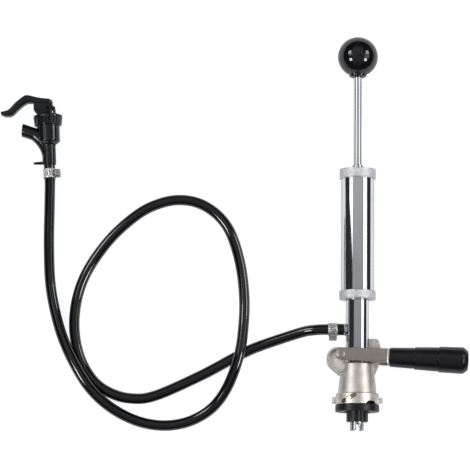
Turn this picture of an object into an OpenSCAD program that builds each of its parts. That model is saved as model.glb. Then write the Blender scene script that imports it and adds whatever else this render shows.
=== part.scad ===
// Keg party pump: a bayonet keg coupler with a lever, a hand air pump, a vinyl hose and a picnic faucet.
// It lies on a table. The pump's axis is Y, its knob end towards +Y, and +Z points up from the table.
// The origin is on the pump's axis, at the lower face of the bottom seal, where the keg seats.

/* [Coupler] */
// Outside diameter of the bottom seal
seal_d = 45.4; // [42:0.2:52]
// Height of the bottom seal that shows below the body
seal_h = 7; // [6:0.2:12]
// Diameter of the gas way through the bottom seal
seal_bore_d = 28; // [26:0.5:31]
// Outside diameter of the bayonet flange
flange_d = 44.2; // [42:0.2:50]
// Height of the bayonet flange
flange_h = 11.9; // [10.5:0.1:16]
// Reach of each bayonet lug beyond the flange
lug_reach = 4.1; // [2:0.1:6]
// Diameter at the foot of the tapered body
cone_foot_d = 39.8; // [38:0.2:41.6]
// Diameter of the body's top rim
rim_d = 33.2; // [31.6:0.2:37]
// Height of the tapered body above the flange
cone_h = 30.8; // [24:0.2:36]
// Thickness of the ears that carry the lever's hinge pin
ear_t = 6.4; // [4:0.2:8]
// Thickness of the guard fin on the lever's side
fin_t = 10; // [6:0.5:14]
// Height of the guard fin above the body's rim
fin_rise = 25.7; // [15:0.1:32]

/* [Lever] */
// Distance from the pump's axis to the hinge
hinge_out = 17; // [16.5:0.1:20]
// Height of the hinge above the body's rim
hinge_rise = 9.2; // [8.5:0.1:13]
// Diameter of the hinge pin
pin_d = 6; // [4:0.1:7]
// Thickness of the bent strap
strap_t = 2.5; // [1.5:0.1:4]
// Length of the strap from the hinge to its closed end
strap_len = 50.3; // [48:0.1:60]
// Radius of the strap's round ends
strap_end_r = 6.2; // [5.4:0.1:8]
// Half height of the strap at its closed end
strap_far_half = 7.6; // [6.5:0.1:9]
// Droop of the lever below level, in degrees
lever_droop = 2.4; // [0:0.1:5]
// Diameter of the drive pins inside the strap
drive_pin_d = 5; // [3:0.1:6]
// Length of the grip
grip_len = 81.5; // [60:0.5:100]
// Smallest diameter of the grip, beside the strap
grip_small_d = 19.8; // [16:0.1:22]
// Largest diameter of the grip
grip_big_d = 27.8; // [25:0.1:34]
// Diameter of the stud inside the grip
stud_d = 6; // [4:0.1:8]

/* [Neck and probe] */
// Outside diameter of the neck
neck_d = 24.2; // [22:0.1:25]
// Bore of the neck
neck_bore_d = 17; // [15:0.1:18]
// Height of the neck from the body's rim to the lower collar
neck_show = 66.5; // [56:0.5:90]
// Height of the beer outlet above the body's rim
outlet_rise = 35.5; // [32:0.1:46]
// Diameter of the outlet's collar on the neck
outlet_d = 13.2; // [12:0.1:15]
// Outside diameter of the probe's bare tip
probe_d = 14.5; // [13:0.1:16]
// Bore of the beer way
beer_bore_d = 8.4; // [7:0.1:9.5]
// Reach of the probe below the bottom seal
probe_reach = 19.3; // [14:0.1:26]
// Outside diameter of the probe's rubber sleeve
sleeve_d = 22.4; // [18:0.1:24]
// Reach of the rubber sleeve below the bottom seal
sleeve_reach = 10.3; // [5:0.1:12]
// Number of slots round the probe's tip
tip_slots = 4; // [3:1:6]
// Diameter of the check ball
check_ball_d = 7.4; // [6.4:0.1:8]

/* [Pump] */
// Outside diameter of the barrel
barrel_d = 34.8; // [33:0.1:40]
// Wall of the barrel
barrel_wall = 1.4; // [1:0.1:2]
// Length of barrel that shows between the collar and the cap
barrel_show = 117; // [90:1:160]
// How far the knurled collar and cap stand out beyond the barrel
collar_wall = 1.5; // [1:0.1:3.5]
// Height of the lower collar
collar_h = 9; // [8:0.1:12]
// Height of the top cap
cap_h = 10.4; // [9:0.1:14]
// Diameter of the rod's guide bush above the cap
bush_d = 12.2; // [11.5:0.1:15]
// Height of the guide bush above the cap
bush_h = 4.5; // [2:0.1:6]
// Diameter of the pump rod
rod_d = 9; // [6:0.1:10]
// Length of rod that shows with the pump drawn out
rod_show = 93.1; // [60:0.5:98]
// Diameter of the ball knob
ball_d = 41.8; // [34:0.2:50]
// Diameter of the bead under the ball
bead_d = 18.4; // [14:0.2:22]

/* [Hose] */
// Outside diameter of the hose
hose_d = 11.1; // [10.5:0.1:11.2]
// Bore of the hose
hose_bore_d = 7.8; // [7.4:0.1:8.6]
// Length of each barb inside the hose
barb_len = 15; // [8:0.5:18]
// Width of each hose clamp's band
clamp_w = 9.6; // [6:0.1:10]
// Thickness of the clamp's band
clamp_t = 0.7; // [0.4:0.1:1.2]
// Distance from a hose end to its clamp
clamp_in = 7; // [4.8:0.1:8]

/* [Faucet] */
// Diameter of the shank above the hose
shank_d = 14.4; // [13:0.1:16]
// Length of the shank
shank_len = 21; // [18:0.5:28]
// Diameter of the faucet's body
faucet_d = 23.8; // [22:0.1:26]
// Height of the faucet's body below the bonnet
faucet_h = 17; // [15:0.5:24]
// Diameter of the bonnet at its wide upper end
bonnet_d = 30.2; // [29:0.2:34]
// Height of the bonnet
bonnet_h = 11; // [9.5:0.1:14]
// Number of grip flutes round the bonnet
bonnet_flutes = 14; // [10:1:20]
// Diameter of the spout
spout_d = 13.4; // [11:0.1:14]
// Bore of the spout
spout_bore_d = 8.4; // [7:0.1:9]
// Reach of the spout from the faucet's axis
spout_reach = 27.3; // [24:0.1:36]
// Rise of the spout above square to the faucet's axis, in degrees
spout_rise = 21.4; // [15:0.1:28]
// Diameter of the valve stem
stem_d = 5.8; // [5:0.1:6.4]
// Diameter of the lever's pivot pin
pivot_d = 3; // [2:0.1:3.4]
// Sideways offset of the cam's centre from the pivot, which sets the lift
cam_offset = 8; // [6:0.1:9]
// Radius of the cam
cam_r = 6.2; // [5.6:0.1:7]
// Width of the faucet's lever
thumb_w = 12.5; // [10:0.5:16]

/* [Clearances] */
// Gap between the neck and the body that it slides in
slide_gap = 0.2; // [0.1:0.05:0.4]
// Gap round a pin or rod that turns or slides
running_gap = 0.05; // [0.02:0.01:0.1]
// Gap between pieces that move past each other
moving_gap = 0.35; // [0.3:0.05:0.6]
// Gap between fixed pieces that fit together
fixed_gap = 0.05; // [0.02:0.01:0.1]

/* [Hidden] */
$fn = 96;
over = 1; // how far a cut runs past the face it opens
edge = 0.7; // softened edge of a turned piece
// Heights along the pump's axis
flange_top = seal_h + flange_h;
rim_y = flange_top + cone_h;
hinge = [-hinge_out, rim_y + hinge_rise, 0];
outlet_y = rim_y + outlet_rise;
collar_y = rim_y + neck_show;
barrel_y = collar_y + collar_h * 0.533;
cap_y = collar_y + collar_h + barrel_show;
barrel_top = cap_y + cap_h / 2;
cap_top = cap_y + cap_h;
bush_top = cap_top + bush_h;
bead_y = bush_top + rod_show;
// Radii that several pieces share
seal_r = seal_d / 2;
seal_bore_r = seal_bore_d / 2;
flange_r = flange_d / 2;
rim_r = rim_d / 2;
cone_foot_r = cone_foot_d / 2;
neck_r = neck_d / 2;
neck_bore_r = neck_bore_d / 2;
guide_r = neck_r + slide_gap;
beer_r = beer_bore_d / 2;
tube_wall = 1.8;
tube_r = beer_r + tube_wall;
probe_r = probe_d / 2;
barrel_r = barrel_d / 2;
bore_r = barrel_r - barrel_wall;
collar_r = barrel_r + collar_wall;
rod_r = rod_d / 2;
pin_r = pin_d / 2;
stud_r = stud_d / 2;
hose_r = hose_d / 2;
// Inside the coupler
spigot_wall = 3.1;
spigot_h = 4;
spigot_r = flange_r - spigot_wall;
chamber_wall = 2.9;
chamber_r = cone_foot_r - chamber_wall;
chamber_top = flange_top;
mouth_depth = 4.7;
mouth_r = (neck_r + rim_r) / 2;
neck_y = seal_h + 2.4;
port_y = flange_top - 3.9;
port_d = 4;
ring_wire_r = 0.75;
slot_depth = 2.7;
slot_rise = 26;
ring_ys = [flange_top + 4.1, flange_top + 8.1];
// The lever and its drive: pins in the strap lift the neck as the strap turns
strap_in = neck_r + 1.1;
strap_out = strap_in + strap_t;
ear_out = strap_in - moving_gap;
ear_r = hinge_out * 0.676;
ear_centre = [hinge.x - 3.3, hinge.y - 4.6];
ear_rim = 2.2;
ear_web = 2;
ear_foot = 11.5;
drive_angle = 10;
drive_r = hinge_out / cos(drive_angle);
drive_pin = [drive_r * cos(lever_droop - drive_angle), drive_r * sin(lever_droop - drive_angle)];
drive_y = hinge.y - drive_r * sin(drive_angle);
drive_pin_r = drive_pin_d / 2;
groove_floor = neck_bore_r + 1.6;
head_t = 1.8;
head_r = pin_r + 1.4;
clip_t = 1;
stud_head_r = stud_r + 2;
stud_head_t = 3;
stud_len = grip_len * 0.75;
fin_r = strap_len - strap_t - stud_head_t - 3.2;
fin_corner = 4.5;
fin_in = 2.6;
fin_foot = 11;
fin_root = rim_r - 5;
// Parts of the grip along its length: three barrels, each wider than the last, and a domed end
grip_dome = 6.2;
grip_third = (grip_len - grip_dome) / 3;
grip_step = (grip_big_d - grip_small_d) / 16;
// The outlet and the beer way
port_r = outlet_d / 2 - 1.6;
barb_r = hose_bore_d / 2 - 0.25;
barb_root_r = barb_r - 0.5;
barb_bore_r = barb_root_r - 1.1;
barb_pitch = 3.6;
outlet_face = neck_r + 1.3;
sleeve_r = sleeve_d / 2;
sleeve_top = seal_h + 0.4;
sleeve_flute_r = 1.8;
shoulder_r = neck_r - 0.8;
tip_wall = 1.6;
tip_slot_r = probe_r * 0.36;
seat_t = 3;
beer_top = outlet_y + 10;
check_ball_r = check_ball_d / 2;
check_seat_r = check_ball_r - 0.7;
check_seat_y = outlet_y - 13;
check_ball_y = check_seat_y + sqrt(check_ball_r * check_ball_r - check_seat_r * check_seat_r);
// The air pump's inside
flange_t = 2;
gasket_t = 1;
collar_lip = barrel_y - flange_t - gasket_t - collar_y;
valve_t = 3.6;
valve_hole_d = 2.2;
valve_holes = 6;
valve_stem_r = 1.5;
valve_cap_r = neck_bore_r - 1;
valve_cap_t = 1.6;
valve_bulb_r = 2.3;
valve_bulb_h = 2.4;
piston_top = barrel_top - 1;
piston_t = 6;
dish = 1.5;
cup_h = 8;
cup_lip = 2.4;
washer_t = 2;
nut_h = 5;
nut_across = 13;
rod_thread_r = rod_r - 1;
piston_r = bore_r - moving_gap;
cup_y = piston_top - piston_t - cup_h;
washer_y = cup_y + cup_h - cup_lip - washer_t;
nut_y = washer_y - nut_h;
bush_shank_r = rod_r + 1;
ball_r = ball_d / 2;
bead_h = 0.8;
ball_y = bead_y + bead_h + ball_r;
insert_r = rod_thread_r + 2.5;
insert_h = ball_r * 0.85;
// The hose's route, from the outlet to the faucet, as points on its centre line.
// It lies on the table, crosses over itself once and rests on its own first turn at that turn's left.
hose_route = [
    [-13.7, 85.2, 0], [-30, 85.2, 0], [-44, 84.9, -2.6], [-60, 82.3, -7.8], [-101, 69.3, -16.2],
    [-122, 60, -16.9], [-162, 38.4, -16.9], [-209, 17.3, -16.9], [-234, 14.3, -16.9], [-256, 20, -16.9],
    [-274, 33, -16.9], [-288, 56.5, -16.9], [-294.3, 86, -16.9], [-292, 118, -16.9],
    [-281, 148.5, -16.9], [-258, 181.5, -16.9], [-230, 207, -16.9], [-207, 218.8, -16.9],
    [-185, 222.6, -16.9], [-163.5, 218.3, -16.9], [-144, 204.8, -16.9], [-131, 185, -16.8],
    [-121.5, 153, -16], [-117.4, 119, -13.2], [-118, 88, -8], [-122, 59, -5.3], [-133, 28, -8.4],
    [-148.5, 6, -13.8], [-170.5, -8, -16.7], [-196, -13.6, -16.9], [-223, -10.5, -16.3],
    [-249, 0.7, -12.4], [-271.5, 18.5, -8.5], [-289, 42.5, -7.3], [-307, 80, -11], [-319, 126, -16],
    [-322.2, 170, -15.8], [-321.8, 214, -10.3], [-321.58, 240.5, -7.65], [-322.4, 257.65, -7.6]];
route_steps = 2;
hose_sides = 10;
// The hose clamps' saddles and worm screws
saddle_h = 4.6;
saddle_len = 9;
worm_r = 2;
worm_head_d = 7;
worm_head_t = 3;
worm_slot = 0.8;
// The faucet stands at the hose's far end, in line with it
faucet_lean = 2.8;
faucet_at = hose_route[len(hose_route) - 1] + moving_gap * [-sin(faucet_lean), cos(faucet_lean), 0];
body_y = shank_len + 3.5;
bonnet_y = body_y + faucet_h;
bonnet_top = bonnet_y + bonnet_h;
boss_h = 1.5;
boss_r = cam_offset + 2.4;
skirt_h = bonnet_h - 4.4;
thread_r = faucet_d / 2 - 1.4;
valve_r = thread_r - 2;
seat_y = body_y + 1;
spout_r = spout_d / 2;
spout_y = body_y + 3;
gusset_r = 15;
gusset_t = 7;
peg_len = 9.6;
peg_y = 2.2;
peg_r = 1.8;
peg_tip_r = 1.25;
mouth_slant = 8;
stem_r = stem_d / 2;
stem_nose_r = 2;
stem_nose_y = seat_y + 1.2;
seal_y = seat_y + 0.2;
seal_t = 3.3;
stem_flange_y = seal_y + seal_t;
stem_flange_t = 2;
stem_flange_r = valve_r - 2.5;
pivot_y = bonnet_top + boss_h + moving_gap + cam_r;
pivot_r = pivot_d / 2;
pivot_boss_r = cam_r - 0.8;
tongue_t = 3.4;
head_w = 11;
guard_x = pivot_boss_r + 0.5;
guard_t = 2.4;
guard_w = 9;
fork_back = stem_r + 3.7;
fork_front = stem_r + 1.4;
spring_r = stem_flange_r - 0.8;
spring_wire_r = 0.5;
spring_turns = 5;
spring_low = stem_flange_y + stem_flange_t + spring_wire_r + fixed_gap;
spring_high = bonnet_y + skirt_h - spring_wire_r - fixed_gap;

// Turns what is drawn along Z to lie along the pump's axis, Y
module along_y() rotate([-90, 0, 0]) children();

// A solid of revolution about the Y axis, from points given as radius and height
module revolved(profile) along_y() rotate_extrude() polygon(profile);

// A round bar or hole along the Y axis
module bar(r, y0, y1) along_y() translate([0, 0, y0]) cylinder(r = r, h = y1 - y0);

// A plain ring about the Y axis
module bar_ring(r, hole, y0, y1) difference() {
    bar(r, y0, y1);
    bar(hole, y0 - over, y1 + over);
}

// A round bar or hole along the Z axis, between two heights
module cross_bar(r, z0, z1) translate([0, 0, z0]) cylinder(r = r, h = z1 - z0);

// Points of an arc about a centre, in the plane of a profile
function arc(centre, r, from, to, steps = 12) = [
    for (i = [0 : steps])
        let (a = from + (to - from) * i / steps) centre + r * [cos(a), sin(a)]];

// A point of the smooth curve between b and c, with the neighbours a and d
function smooth_point(a, b, c, d, t) =
    (2 * b + (c - a) * t + (2 * a - 5 * b + 4 * c - d) * t * t + (3 * b - a - 3 * c + d) * t * t * t) / 2;

// A smooth open curve through every given point
function smooth_curve(p, steps) = let (n = len(p)) [
    for (i = [0 : n - 2], k = [0 : steps - 1])
        smooth_point(i > 0 ? p[i - 1] : 2 * p[0] - p[1], p[i], p[i + 1],
            i < n - 2 ? p[i + 2] : 2 * p[n - 1] - p[n - 2], k / steps),
    p[n - 1]];

function unit(v) = v / norm(v);

// The direction of a path at one of its points
function heading(path, i) = unit(path[min(i + 1, len(path) - 1)] - path[max(i - 1, 0)]);

// Rings of points about a path that never stands upright
function rings(path, r, sides) = [
    for (i = [0 : len(path) - 1])
        let (ahead = heading(path, i), aside = unit(cross(ahead, [0, 0, 1])), above = cross(aside, ahead))
        for (j = [0 : sides - 1])
            let (a = 360 * j / sides) path[i] + r * (cos(a) * aside + sin(a) * above)];

// Faces between neighbouring rings, numbered from a first point
function wall_faces(count, sides, first, outward) = [
    for (i = [0 : count - 2], j = [0 : sides - 1])
        let (row = first + i * sides, a = row + j, b = row + (j + 1) % sides, c = b + sides, d = a + sides)
        each outward ? [[a, b, c], [a, c, d]] : [[a, c, b], [a, d, c]]];

// A hose with a bore along a path
module hose_along(path, r, bore, sides) {
    n = len(path);
    inner = n * sides;
    last = (n - 1) * sides;
    ends = [for (j = [0 : sides - 1]) let (k = (j + 1) % sides)
        each [[j, inner + j, inner + k], [j, inner + k, k],
            [last + j, last + k, inner + last + k], [last + j, inner + last + k, inner + last + j]]];
    polyhedron(concat(rings(path, r, sides), rings(path, bore / cos(180 / sides), sides)),
        concat(wall_faces(n, sides, 0, true), wall_faces(n, sides, inner, false), ends));
}

hose_path = smooth_curve(hose_route, route_steps);
// Least gap between two strands of the hose, left out where they are neighbours along it
hose_gap = min([for (i = [0 : len(hose_path) - 1], j = [i + 5 : 1 : len(hose_path) - 1])
    norm(hose_path[i] - hose_path[j])]) - hose_d;
echo(hose_gap = hose_gap);

// Outline of the hinge ears: round about the hinge and sloping down into the body
module ear_outline() polygon(concat(
    arc(ear_centre, ear_r, 88, 222, 16),
    [[-cone_foot_r + 0.9, rim_y - ear_foot], [-neck_r, rim_y - ear_foot],
        [-neck_r, ear_centre.y + ear_r - 0.3]]));

// Raised rim and boss on each ear are what is left round this hollow, which runs on into the tapered body
module ear_hollow() difference() {
    polygon(concat(
        arc(ear_centre, ear_r - ear_rim, 88, 222, 16),
        [[-cone_foot_r + 0.9 + ear_rim, rim_y - ear_foot + ear_rim / 2],
            [over - neck_r, rim_y - ear_foot + ear_rim / 2],
            [over - neck_r, ear_centre.y + ear_r - ear_rim - 0.3]]));
    translate([hinge.x, hinge.y]) circle(strap_end_r - 0.4);
}

// The guard fin: a quadrant about the hinge that stands beside the neck
module fin_outline() {
    top = rim_y + fin_rise;
    bend = asin((top - fin_corner - hinge.y) / (fin_r - fin_corner));
    corner = [hinge.x + (fin_r - fin_corner) * cos(bend), top - fin_corner];
    polygon(concat(
        [[fin_root, rim_y - fin_foot], [rim_r + 1.6, rim_y - fin_foot]],
        arc([hinge.x, hinge.y], fin_r, -10, bend - 2), arc(corner, fin_corner, bend, 90),
        [[fin_root, top]]));
}

// A milled slot with round ends
module slot_outline(length, width) polygon(concat(
    arc([(length - width) / 2, 0], width / 2, -90, 90),
    arc([(width - length) / 2, 0], width / 2, 90, 270)));

// Cuts in the bayonet flange: a rising slot and an arched notch on each side
module bayonet_cuts() for (turn = [0, 180]) rotate([0, turn, 0]) {
    rotate([0, -24, 0]) translate([0, seal_h + flange_h / 2, flange_r - slot_depth])
        rotate([0, 0, slot_rise]) linear_extrude(2 * slot_depth)
            slot_outline(flange_h * 1.52, flange_h * 0.36);
    rotate([0, 40, 0]) translate([0, seal_h - over, flange_r - slot_depth])
        linear_extrude(2 * slot_depth) slot_outline(flange_h * 1.1, flange_h * 0.76);
}

// A bayonet lug, inclined like the thread that it rides
module bayonet_lug() intersection() {
    bar(flange_r + lug_reach, seal_h, flange_top);
    translate([flange_r - 2, seal_h + flange_h * 0.41, 0]) rotate([8, 0, 0])
        translate([0, -2.6, -5]) cube([lug_reach + 4, 5.2, 10]);
}

module coupler_body() color("silver") difference() {
    union() {
        revolved([
            [0, seal_h], [flange_r - edge, seal_h], [flange_r, seal_h + edge], [flange_r, flange_top - edge],
            [flange_r - edge, flange_top], [cone_foot_r, flange_top], [rim_r, rim_y - edge],
            [rim_r - edge, rim_y], [0, rim_y]]);
        for (turn = [0, 180]) rotate([0, turn, 0]) bayonet_lug();
        for (side = [-1, 1]) translate([0, 0, side * (ear_out - ear_t / 2)])
            difference() {
                translate([0, 0, -ear_t / 2]) linear_extrude(ear_t) ear_outline();
                translate([0, 0, side > 0 ? ear_web - ear_t / 2 : -ear_t / 2 - over])
                    linear_extrude(ear_t - ear_web + over) ear_hollow();
            }
        translate([0, 0, -fin_t / 2]) linear_extrude(fin_t) fin_outline();
    }
    bar(spigot_r + fixed_gap, seal_h - over, seal_h + spigot_h);
    bar(chamber_r, seal_h, chamber_top);
    bar(guide_r, seal_h, rim_y + fin_rise + over);
    bar(mouth_r, rim_y - mouth_depth, hinge.y - 4);
    for (side = [-1, 1]) translate([neck_r, rim_y, side * fin_t / 2 - 1.4])
        cube([fin_in + 0.4, fin_rise + over, 2.8]);
    translate(hinge) cross_bar(pin_r, -ear_out - over, ear_out + over);
    bayonet_cuts();
}

module bottom_seal() color("#1c1c1e") revolved([
    [seal_bore_r, 0], [seal_r - edge, 0], [seal_r, edge], [seal_r, seal_h - edge], [seal_r - edge, seal_h],
    [spigot_r, seal_h], [spigot_r, seal_h + spigot_h], [seal_bore_r + edge, seal_h + spigot_h],
    [seal_bore_r, seal_h + spigot_h - edge]]);

// Headed pin through both ears and both legs of the strap
module hinge_pin() color("gainsboro") translate(hinge) {
    cross_bar(pin_r, -strap_out - moving_gap - clip_t - 0.8, strap_out + moving_gap + head_t / 2);
    translate([0, 0, strap_out + moving_gap]) rotate_extrude() polygon(concat(
        [[0, 0], [head_r, 0]], arc([head_r - 1, head_t - 1], 1, 0, 60, 4),
        [[pin_r - 1, head_t], [0, head_t]]));
}

// Open clip that holds the pin at the back
module hinge_clip() color("dimgray")
    translate(hinge) translate([0, 0, -strap_out - moving_gap - clip_t]) difference() {
        cylinder(r = head_r + 0.4, h = clip_t);
        translate([0, 0, -over]) cylinder(r = pin_r, h = clip_t + 2 * over);
        translate([-1.6, -head_r - over - 0.4, -over]) cube([3.2, head_r + over, clip_t + 2 * over]);
    }

// Places a piece of the lever, drawn along X from the hinge
module at_lever() translate(hinge) rotate([0, 0, -lever_droop]) children();

// A revolved piece along the lever, from points given as radius and distance from the hinge
module along_lever(profile) at_lever() rotate([0, 90, 0]) rotate_extrude() polygon(profile);

// Side view of the strap: a round end at the hinge, widening to the closed end
module strap_side() polygon(concat(
    arc([0, 0], strap_end_r, 90, 270, 24), [[strap_len, -strap_far_half], [strap_len, strap_far_half]]));

// Edge of the strap from above: a hairpin with rounded corners, given by its reach and half width
module hairpin(reach, half, corner) polygon(concat(
    [[-2 * strap_end_r, -half]], arc([reach - corner, corner - half], corner, -90, 0, 8),
    arc([reach - corner, half - corner], corner, 0, 90, 8), [[-2 * strap_end_r, half]]));

module lever_strap() color("#9a938c") at_lever() difference() {
    intersection() {
        translate([0, 0, -strap_out - over]) linear_extrude(2 * (strap_out + over)) strap_side();
        rotate([90, 0, 0]) translate([0, 0, -2 * strap_far_half]) linear_extrude(4 * strap_far_half)
            difference() {
                hairpin(strap_len, strap_out, strap_t + 1);
                hairpin(strap_len - strap_t, strap_in, 1);
            }
    }
    cross_bar(pin_r + running_gap, -strap_out - over, strap_out + over);
    translate([strap_len / 2, 0, 0]) rotate([0, 90, 0]) cylinder(r = stud_r, h = strap_len);
}

// Pins on the insides of the strap, which lift the neck by its grooves
module drive_pins() color("gray") at_lever() translate([drive_pin.x, drive_pin.y, 0]) {
    cross_bar(drive_pin_r, groove_floor + 0.3, strap_in);
    cross_bar(drive_pin_r, -strap_in, -groove_floor - 0.3);
}

module grip_stud() color("gray") {
    head = strap_len - strap_t - stud_head_t;
    end = strap_len + stud_len;
    along_lever([
        [0, head], [stud_head_r - edge, head], [stud_head_r, head + edge], [stud_head_r, strap_len - strap_t],
        [stud_r, strap_len - strap_t], [stud_r, end - edge], [stud_r - edge, end], [0, end]]);
}

// One barrel of the grip: a taper between steps, with softened edges
function grip_barrel(i) =
    let (r = grip_small_d / 2 + i * (grip_big_d - grip_small_d) * 0.215,
        wide = r + (i < 2 ? 2 : 1) * grip_step,
        near = strap_len + i * grip_third,
        far = near + grip_third)
    [[r - edge, near], [r, near + edge], [wide, far - edge], [wide - edge, far]];

module lever_grip() color("#17171a") {
    r = grip_big_d / 2;
    end = strap_len + grip_len;
    hole = strap_len + stud_len + 0.4;
    along_lever(concat(
        [[stud_r + fixed_gap, strap_len]], [for (i = [0 : 2]) each grip_barrel(i)],
        [[r - 0.8, end - grip_dome + 0.4], [r - 2.6, end - 2.2], [r - 5, end - 1], [0, end],
            [0, hole], [stud_r + fixed_gap, hole]]));
}

module neck() color("#dfe3e8") difference() {
    union() {
        bar(neck_r, neck_y, collar_y + collar_lip + 0.5);
        bar(barrel_r - 0.5, collar_y + collar_lip, barrel_y - gasket_t);
    }
    bar(neck_bore_r, neck_y - over, barrel_y);
    // Grooves for the drive pins
    for (low = [groove_floor, -neck_r - over])
        translate([-neck_r - over, drive_y - drive_pin_r - moving_gap, low])
            cube([2 * (neck_r + over), drive_pin_d + 2 * moving_gap, neck_r + over - groove_floor]);
    // Gas ports above the probe's shoulder
    for (turn = [45 : 90 : 315]) rotate([0, turn, 0]) translate([0, port_y, 0])
        rotate([0, 90, 0]) cylinder(d = port_d, h = neck_d);
    for (y = ring_ys) along_y() translate([0, 0, y - ring_wire_r - 0.1]) difference() {
        cylinder(r = neck_r + over, h = 2 * ring_wire_r + 0.2);
        cylinder(r = neck_r - 2 * ring_wire_r + 0.05, h = 2 * ring_wire_r + 0.2);
    }
    translate([0, outlet_y, 0]) rotate([0, -90, 0]) cylinder(r = port_r, h = neck_d);
}

// Sealing rings in the neck's grooves
module neck_rings() color("#202022") for (y = ring_ys)
    along_y() translate([0, 0, y]) rotate_extrude() translate([neck_r - ring_wire_r + slide_gap * 0.4, 0])
        circle(ring_wire_r, $fn = 24);

// Beer tube with a shoulder under the neck, a slotted tip and a ball seat below the outlet
module probe() color("#d5d8da") difference() {
    revolved([
        [beer_r, seal_h], [beer_r, check_seat_y - seat_t], [check_seat_r, check_seat_y - seat_t],
        [check_seat_r, check_seat_y], [beer_r, check_seat_y], [beer_r, beer_top - seat_t],
        [0, beer_top - seat_t], [0, beer_top], [tube_r, beer_top], [tube_r, neck_y + spigot_h],
        [neck_bore_r - fixed_gap, neck_y + spigot_h], [neck_bore_r - fixed_gap, neck_y],
        [shoulder_r, neck_y], [shoulder_r, sleeve_top], [probe_r, sleeve_top], [probe_r, edge - probe_reach],
        [probe_r - edge, -probe_reach], [probe_r - tip_wall, -probe_reach],
        [probe_r - tip_wall, spigot_h - sleeve_reach]]);
    for (i = [0 : tip_slots - 1]) rotate([0, 12 + 360 * i / tip_slots, 0]) {
        top_y = -sleeve_reach - 1.2 - tip_slot_r;
        translate([0, top_y, 0]) cylinder(r = tip_slot_r, h = probe_d);
        translate([-tip_slot_r, -probe_reach - over, 0])
            cube([2 * tip_slot_r, top_y + probe_reach + over, probe_d]);
    }
    translate([0, outlet_y, 0]) rotate([0, -90, 0]) cylinder(r = barb_root_r, h = neck_d);
}

module probe_sleeve() color("#1b1b1d") difference() {
    revolved([
        [probe_r, -sleeve_reach], [sleeve_r - edge, -sleeve_reach], [sleeve_r, edge - sleeve_reach],
        [sleeve_r, sleeve_top - edge], [sleeve_r - edge, sleeve_top], [probe_r, sleeve_top]]);
    // Shallow flutes down the sleeve
    for (turn = [15 : 60 : 345]) rotate([0, turn, 0])
        translate([0, 0, sleeve_r + sleeve_flute_r * 0.72])
            bar(sleeve_flute_r, -sleeve_reach - over, sleeve_top + over);
}

// Half profile of a barb: collar-side root, three teeth and the open end, as radius and distance
function barb_profile(start, reach) = [
    [barb_bore_r, start], [barb_root_r, start],
    for (i = [3 : -1 : 1])
        let (tooth = start + reach - i * barb_pitch)
        each [[barb_root_r, tooth + 0.2], [barb_r, tooth + 0.4], [barb_root_r, tooth + barb_pitch]],
    [barb_bore_r, start + reach]];

// Barbed outlet screwed through the neck into the beer tube, with a saddle collar on the neck
module outlet_barb() color("#cfd3d8") translate([0, outlet_y, 0]) rotate([0, -90, 0]) {
    spigot_in = neck_bore_r - 0.4;
    tip_in = beer_r - 0.4;
    tip_r = barb_root_r - fixed_gap;
    tip_out = neck_bore_r + 0.6;
    difference() {
        union() {
            cylinder(r = outlet_d / 2, h = outlet_face);
            cylinder(r = port_r - fixed_gap, h = outlet_face - 0.5);
        }
        difference() {
            rotate([90, 0, 0]) cylinder(r = neck_r, h = 3 * outlet_d, center = true);
            translate([0, 0, spigot_in]) cylinder(r = port_r - fixed_gap, h = outlet_face);
        }
        rotate([90, 0, 0]) cylinder(r = spigot_in, h = 3 * outlet_d, center = true);
        translate([0, 0, -over]) cylinder(r = barb_bore_r, h = outlet_face + 2 * over);
    }
    rotate_extrude() polygon(barb_profile(outlet_face - 0.01, barb_len));
    rotate_extrude() polygon([
        [barb_bore_r, tip_in], [tip_r, tip_in], [tip_r, tip_out], [barb_bore_r, tip_out]]);
}

module check_ball() color("silver") translate([0, check_ball_y + moving_gap, 0]) sphere(check_ball_r);

// Knurled ring nut that draws the barrel down on the neck's flange
module lower_collar() color("#c9ccd0") revolved([
    [neck_r + fixed_gap, collar_y], [collar_r - edge, collar_y], [collar_r, collar_y + edge],
    [collar_r, collar_y + collar_h - edge], [collar_r - edge, collar_y + collar_h],
    [barrel_r + fixed_gap, collar_y + collar_h], [barrel_r + fixed_gap, collar_y + collar_lip],
    [neck_r + fixed_gap, collar_y + collar_lip]]);

module barrel_gasket() color("#2a2a2c") revolved([
    [neck_bore_r, barrel_y - gasket_t], [barrel_r - 0.5, barrel_y - gasket_t], [barrel_r - 0.5, barrel_y],
    [neck_bore_r, barrel_y]]);

module air_valve_seat() color("#b89a5a") difference() {
    revolved([
        [valve_stem_r, barrel_y], [bore_r - slide_gap, barrel_y],
        [bore_r - slide_gap, barrel_y + valve_t - edge], [bore_r - slide_gap - edge, barrel_y + valve_t],
        [valve_stem_r, barrel_y + valve_t]]);
    for (i = [0 : valve_holes - 1]) rotate([0, 360 * i / valve_holes, 0]) translate([valve_cap_r - 2.4, 0, 0])
        bar(valve_hole_d / 2, barrel_y - over, barrel_y + valve_t + over);
}

// Rubber umbrella: its cap closes the holes from below and its stem snaps through the seat
module air_valve() color("#303033") revolved([
    [0, barrel_y - valve_cap_t - edge], [valve_cap_r - 2, barrel_y - valve_cap_t],
    [valve_cap_r, barrel_y - edge], [valve_cap_r, barrel_y], [valve_stem_r, barrel_y],
    [valve_stem_r, barrel_y + valve_t], [valve_bulb_r, barrel_y + valve_t],
    [valve_bulb_r - edge, barrel_y + valve_t + valve_bulb_h],
    [0, barrel_y + valve_t + valve_bulb_h]]);

module barrel() color("#e3e6ea") revolved([
    [bore_r, barrel_y], [barrel_r, barrel_y], [barrel_r, barrel_top], [bore_r, barrel_top]]);

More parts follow.
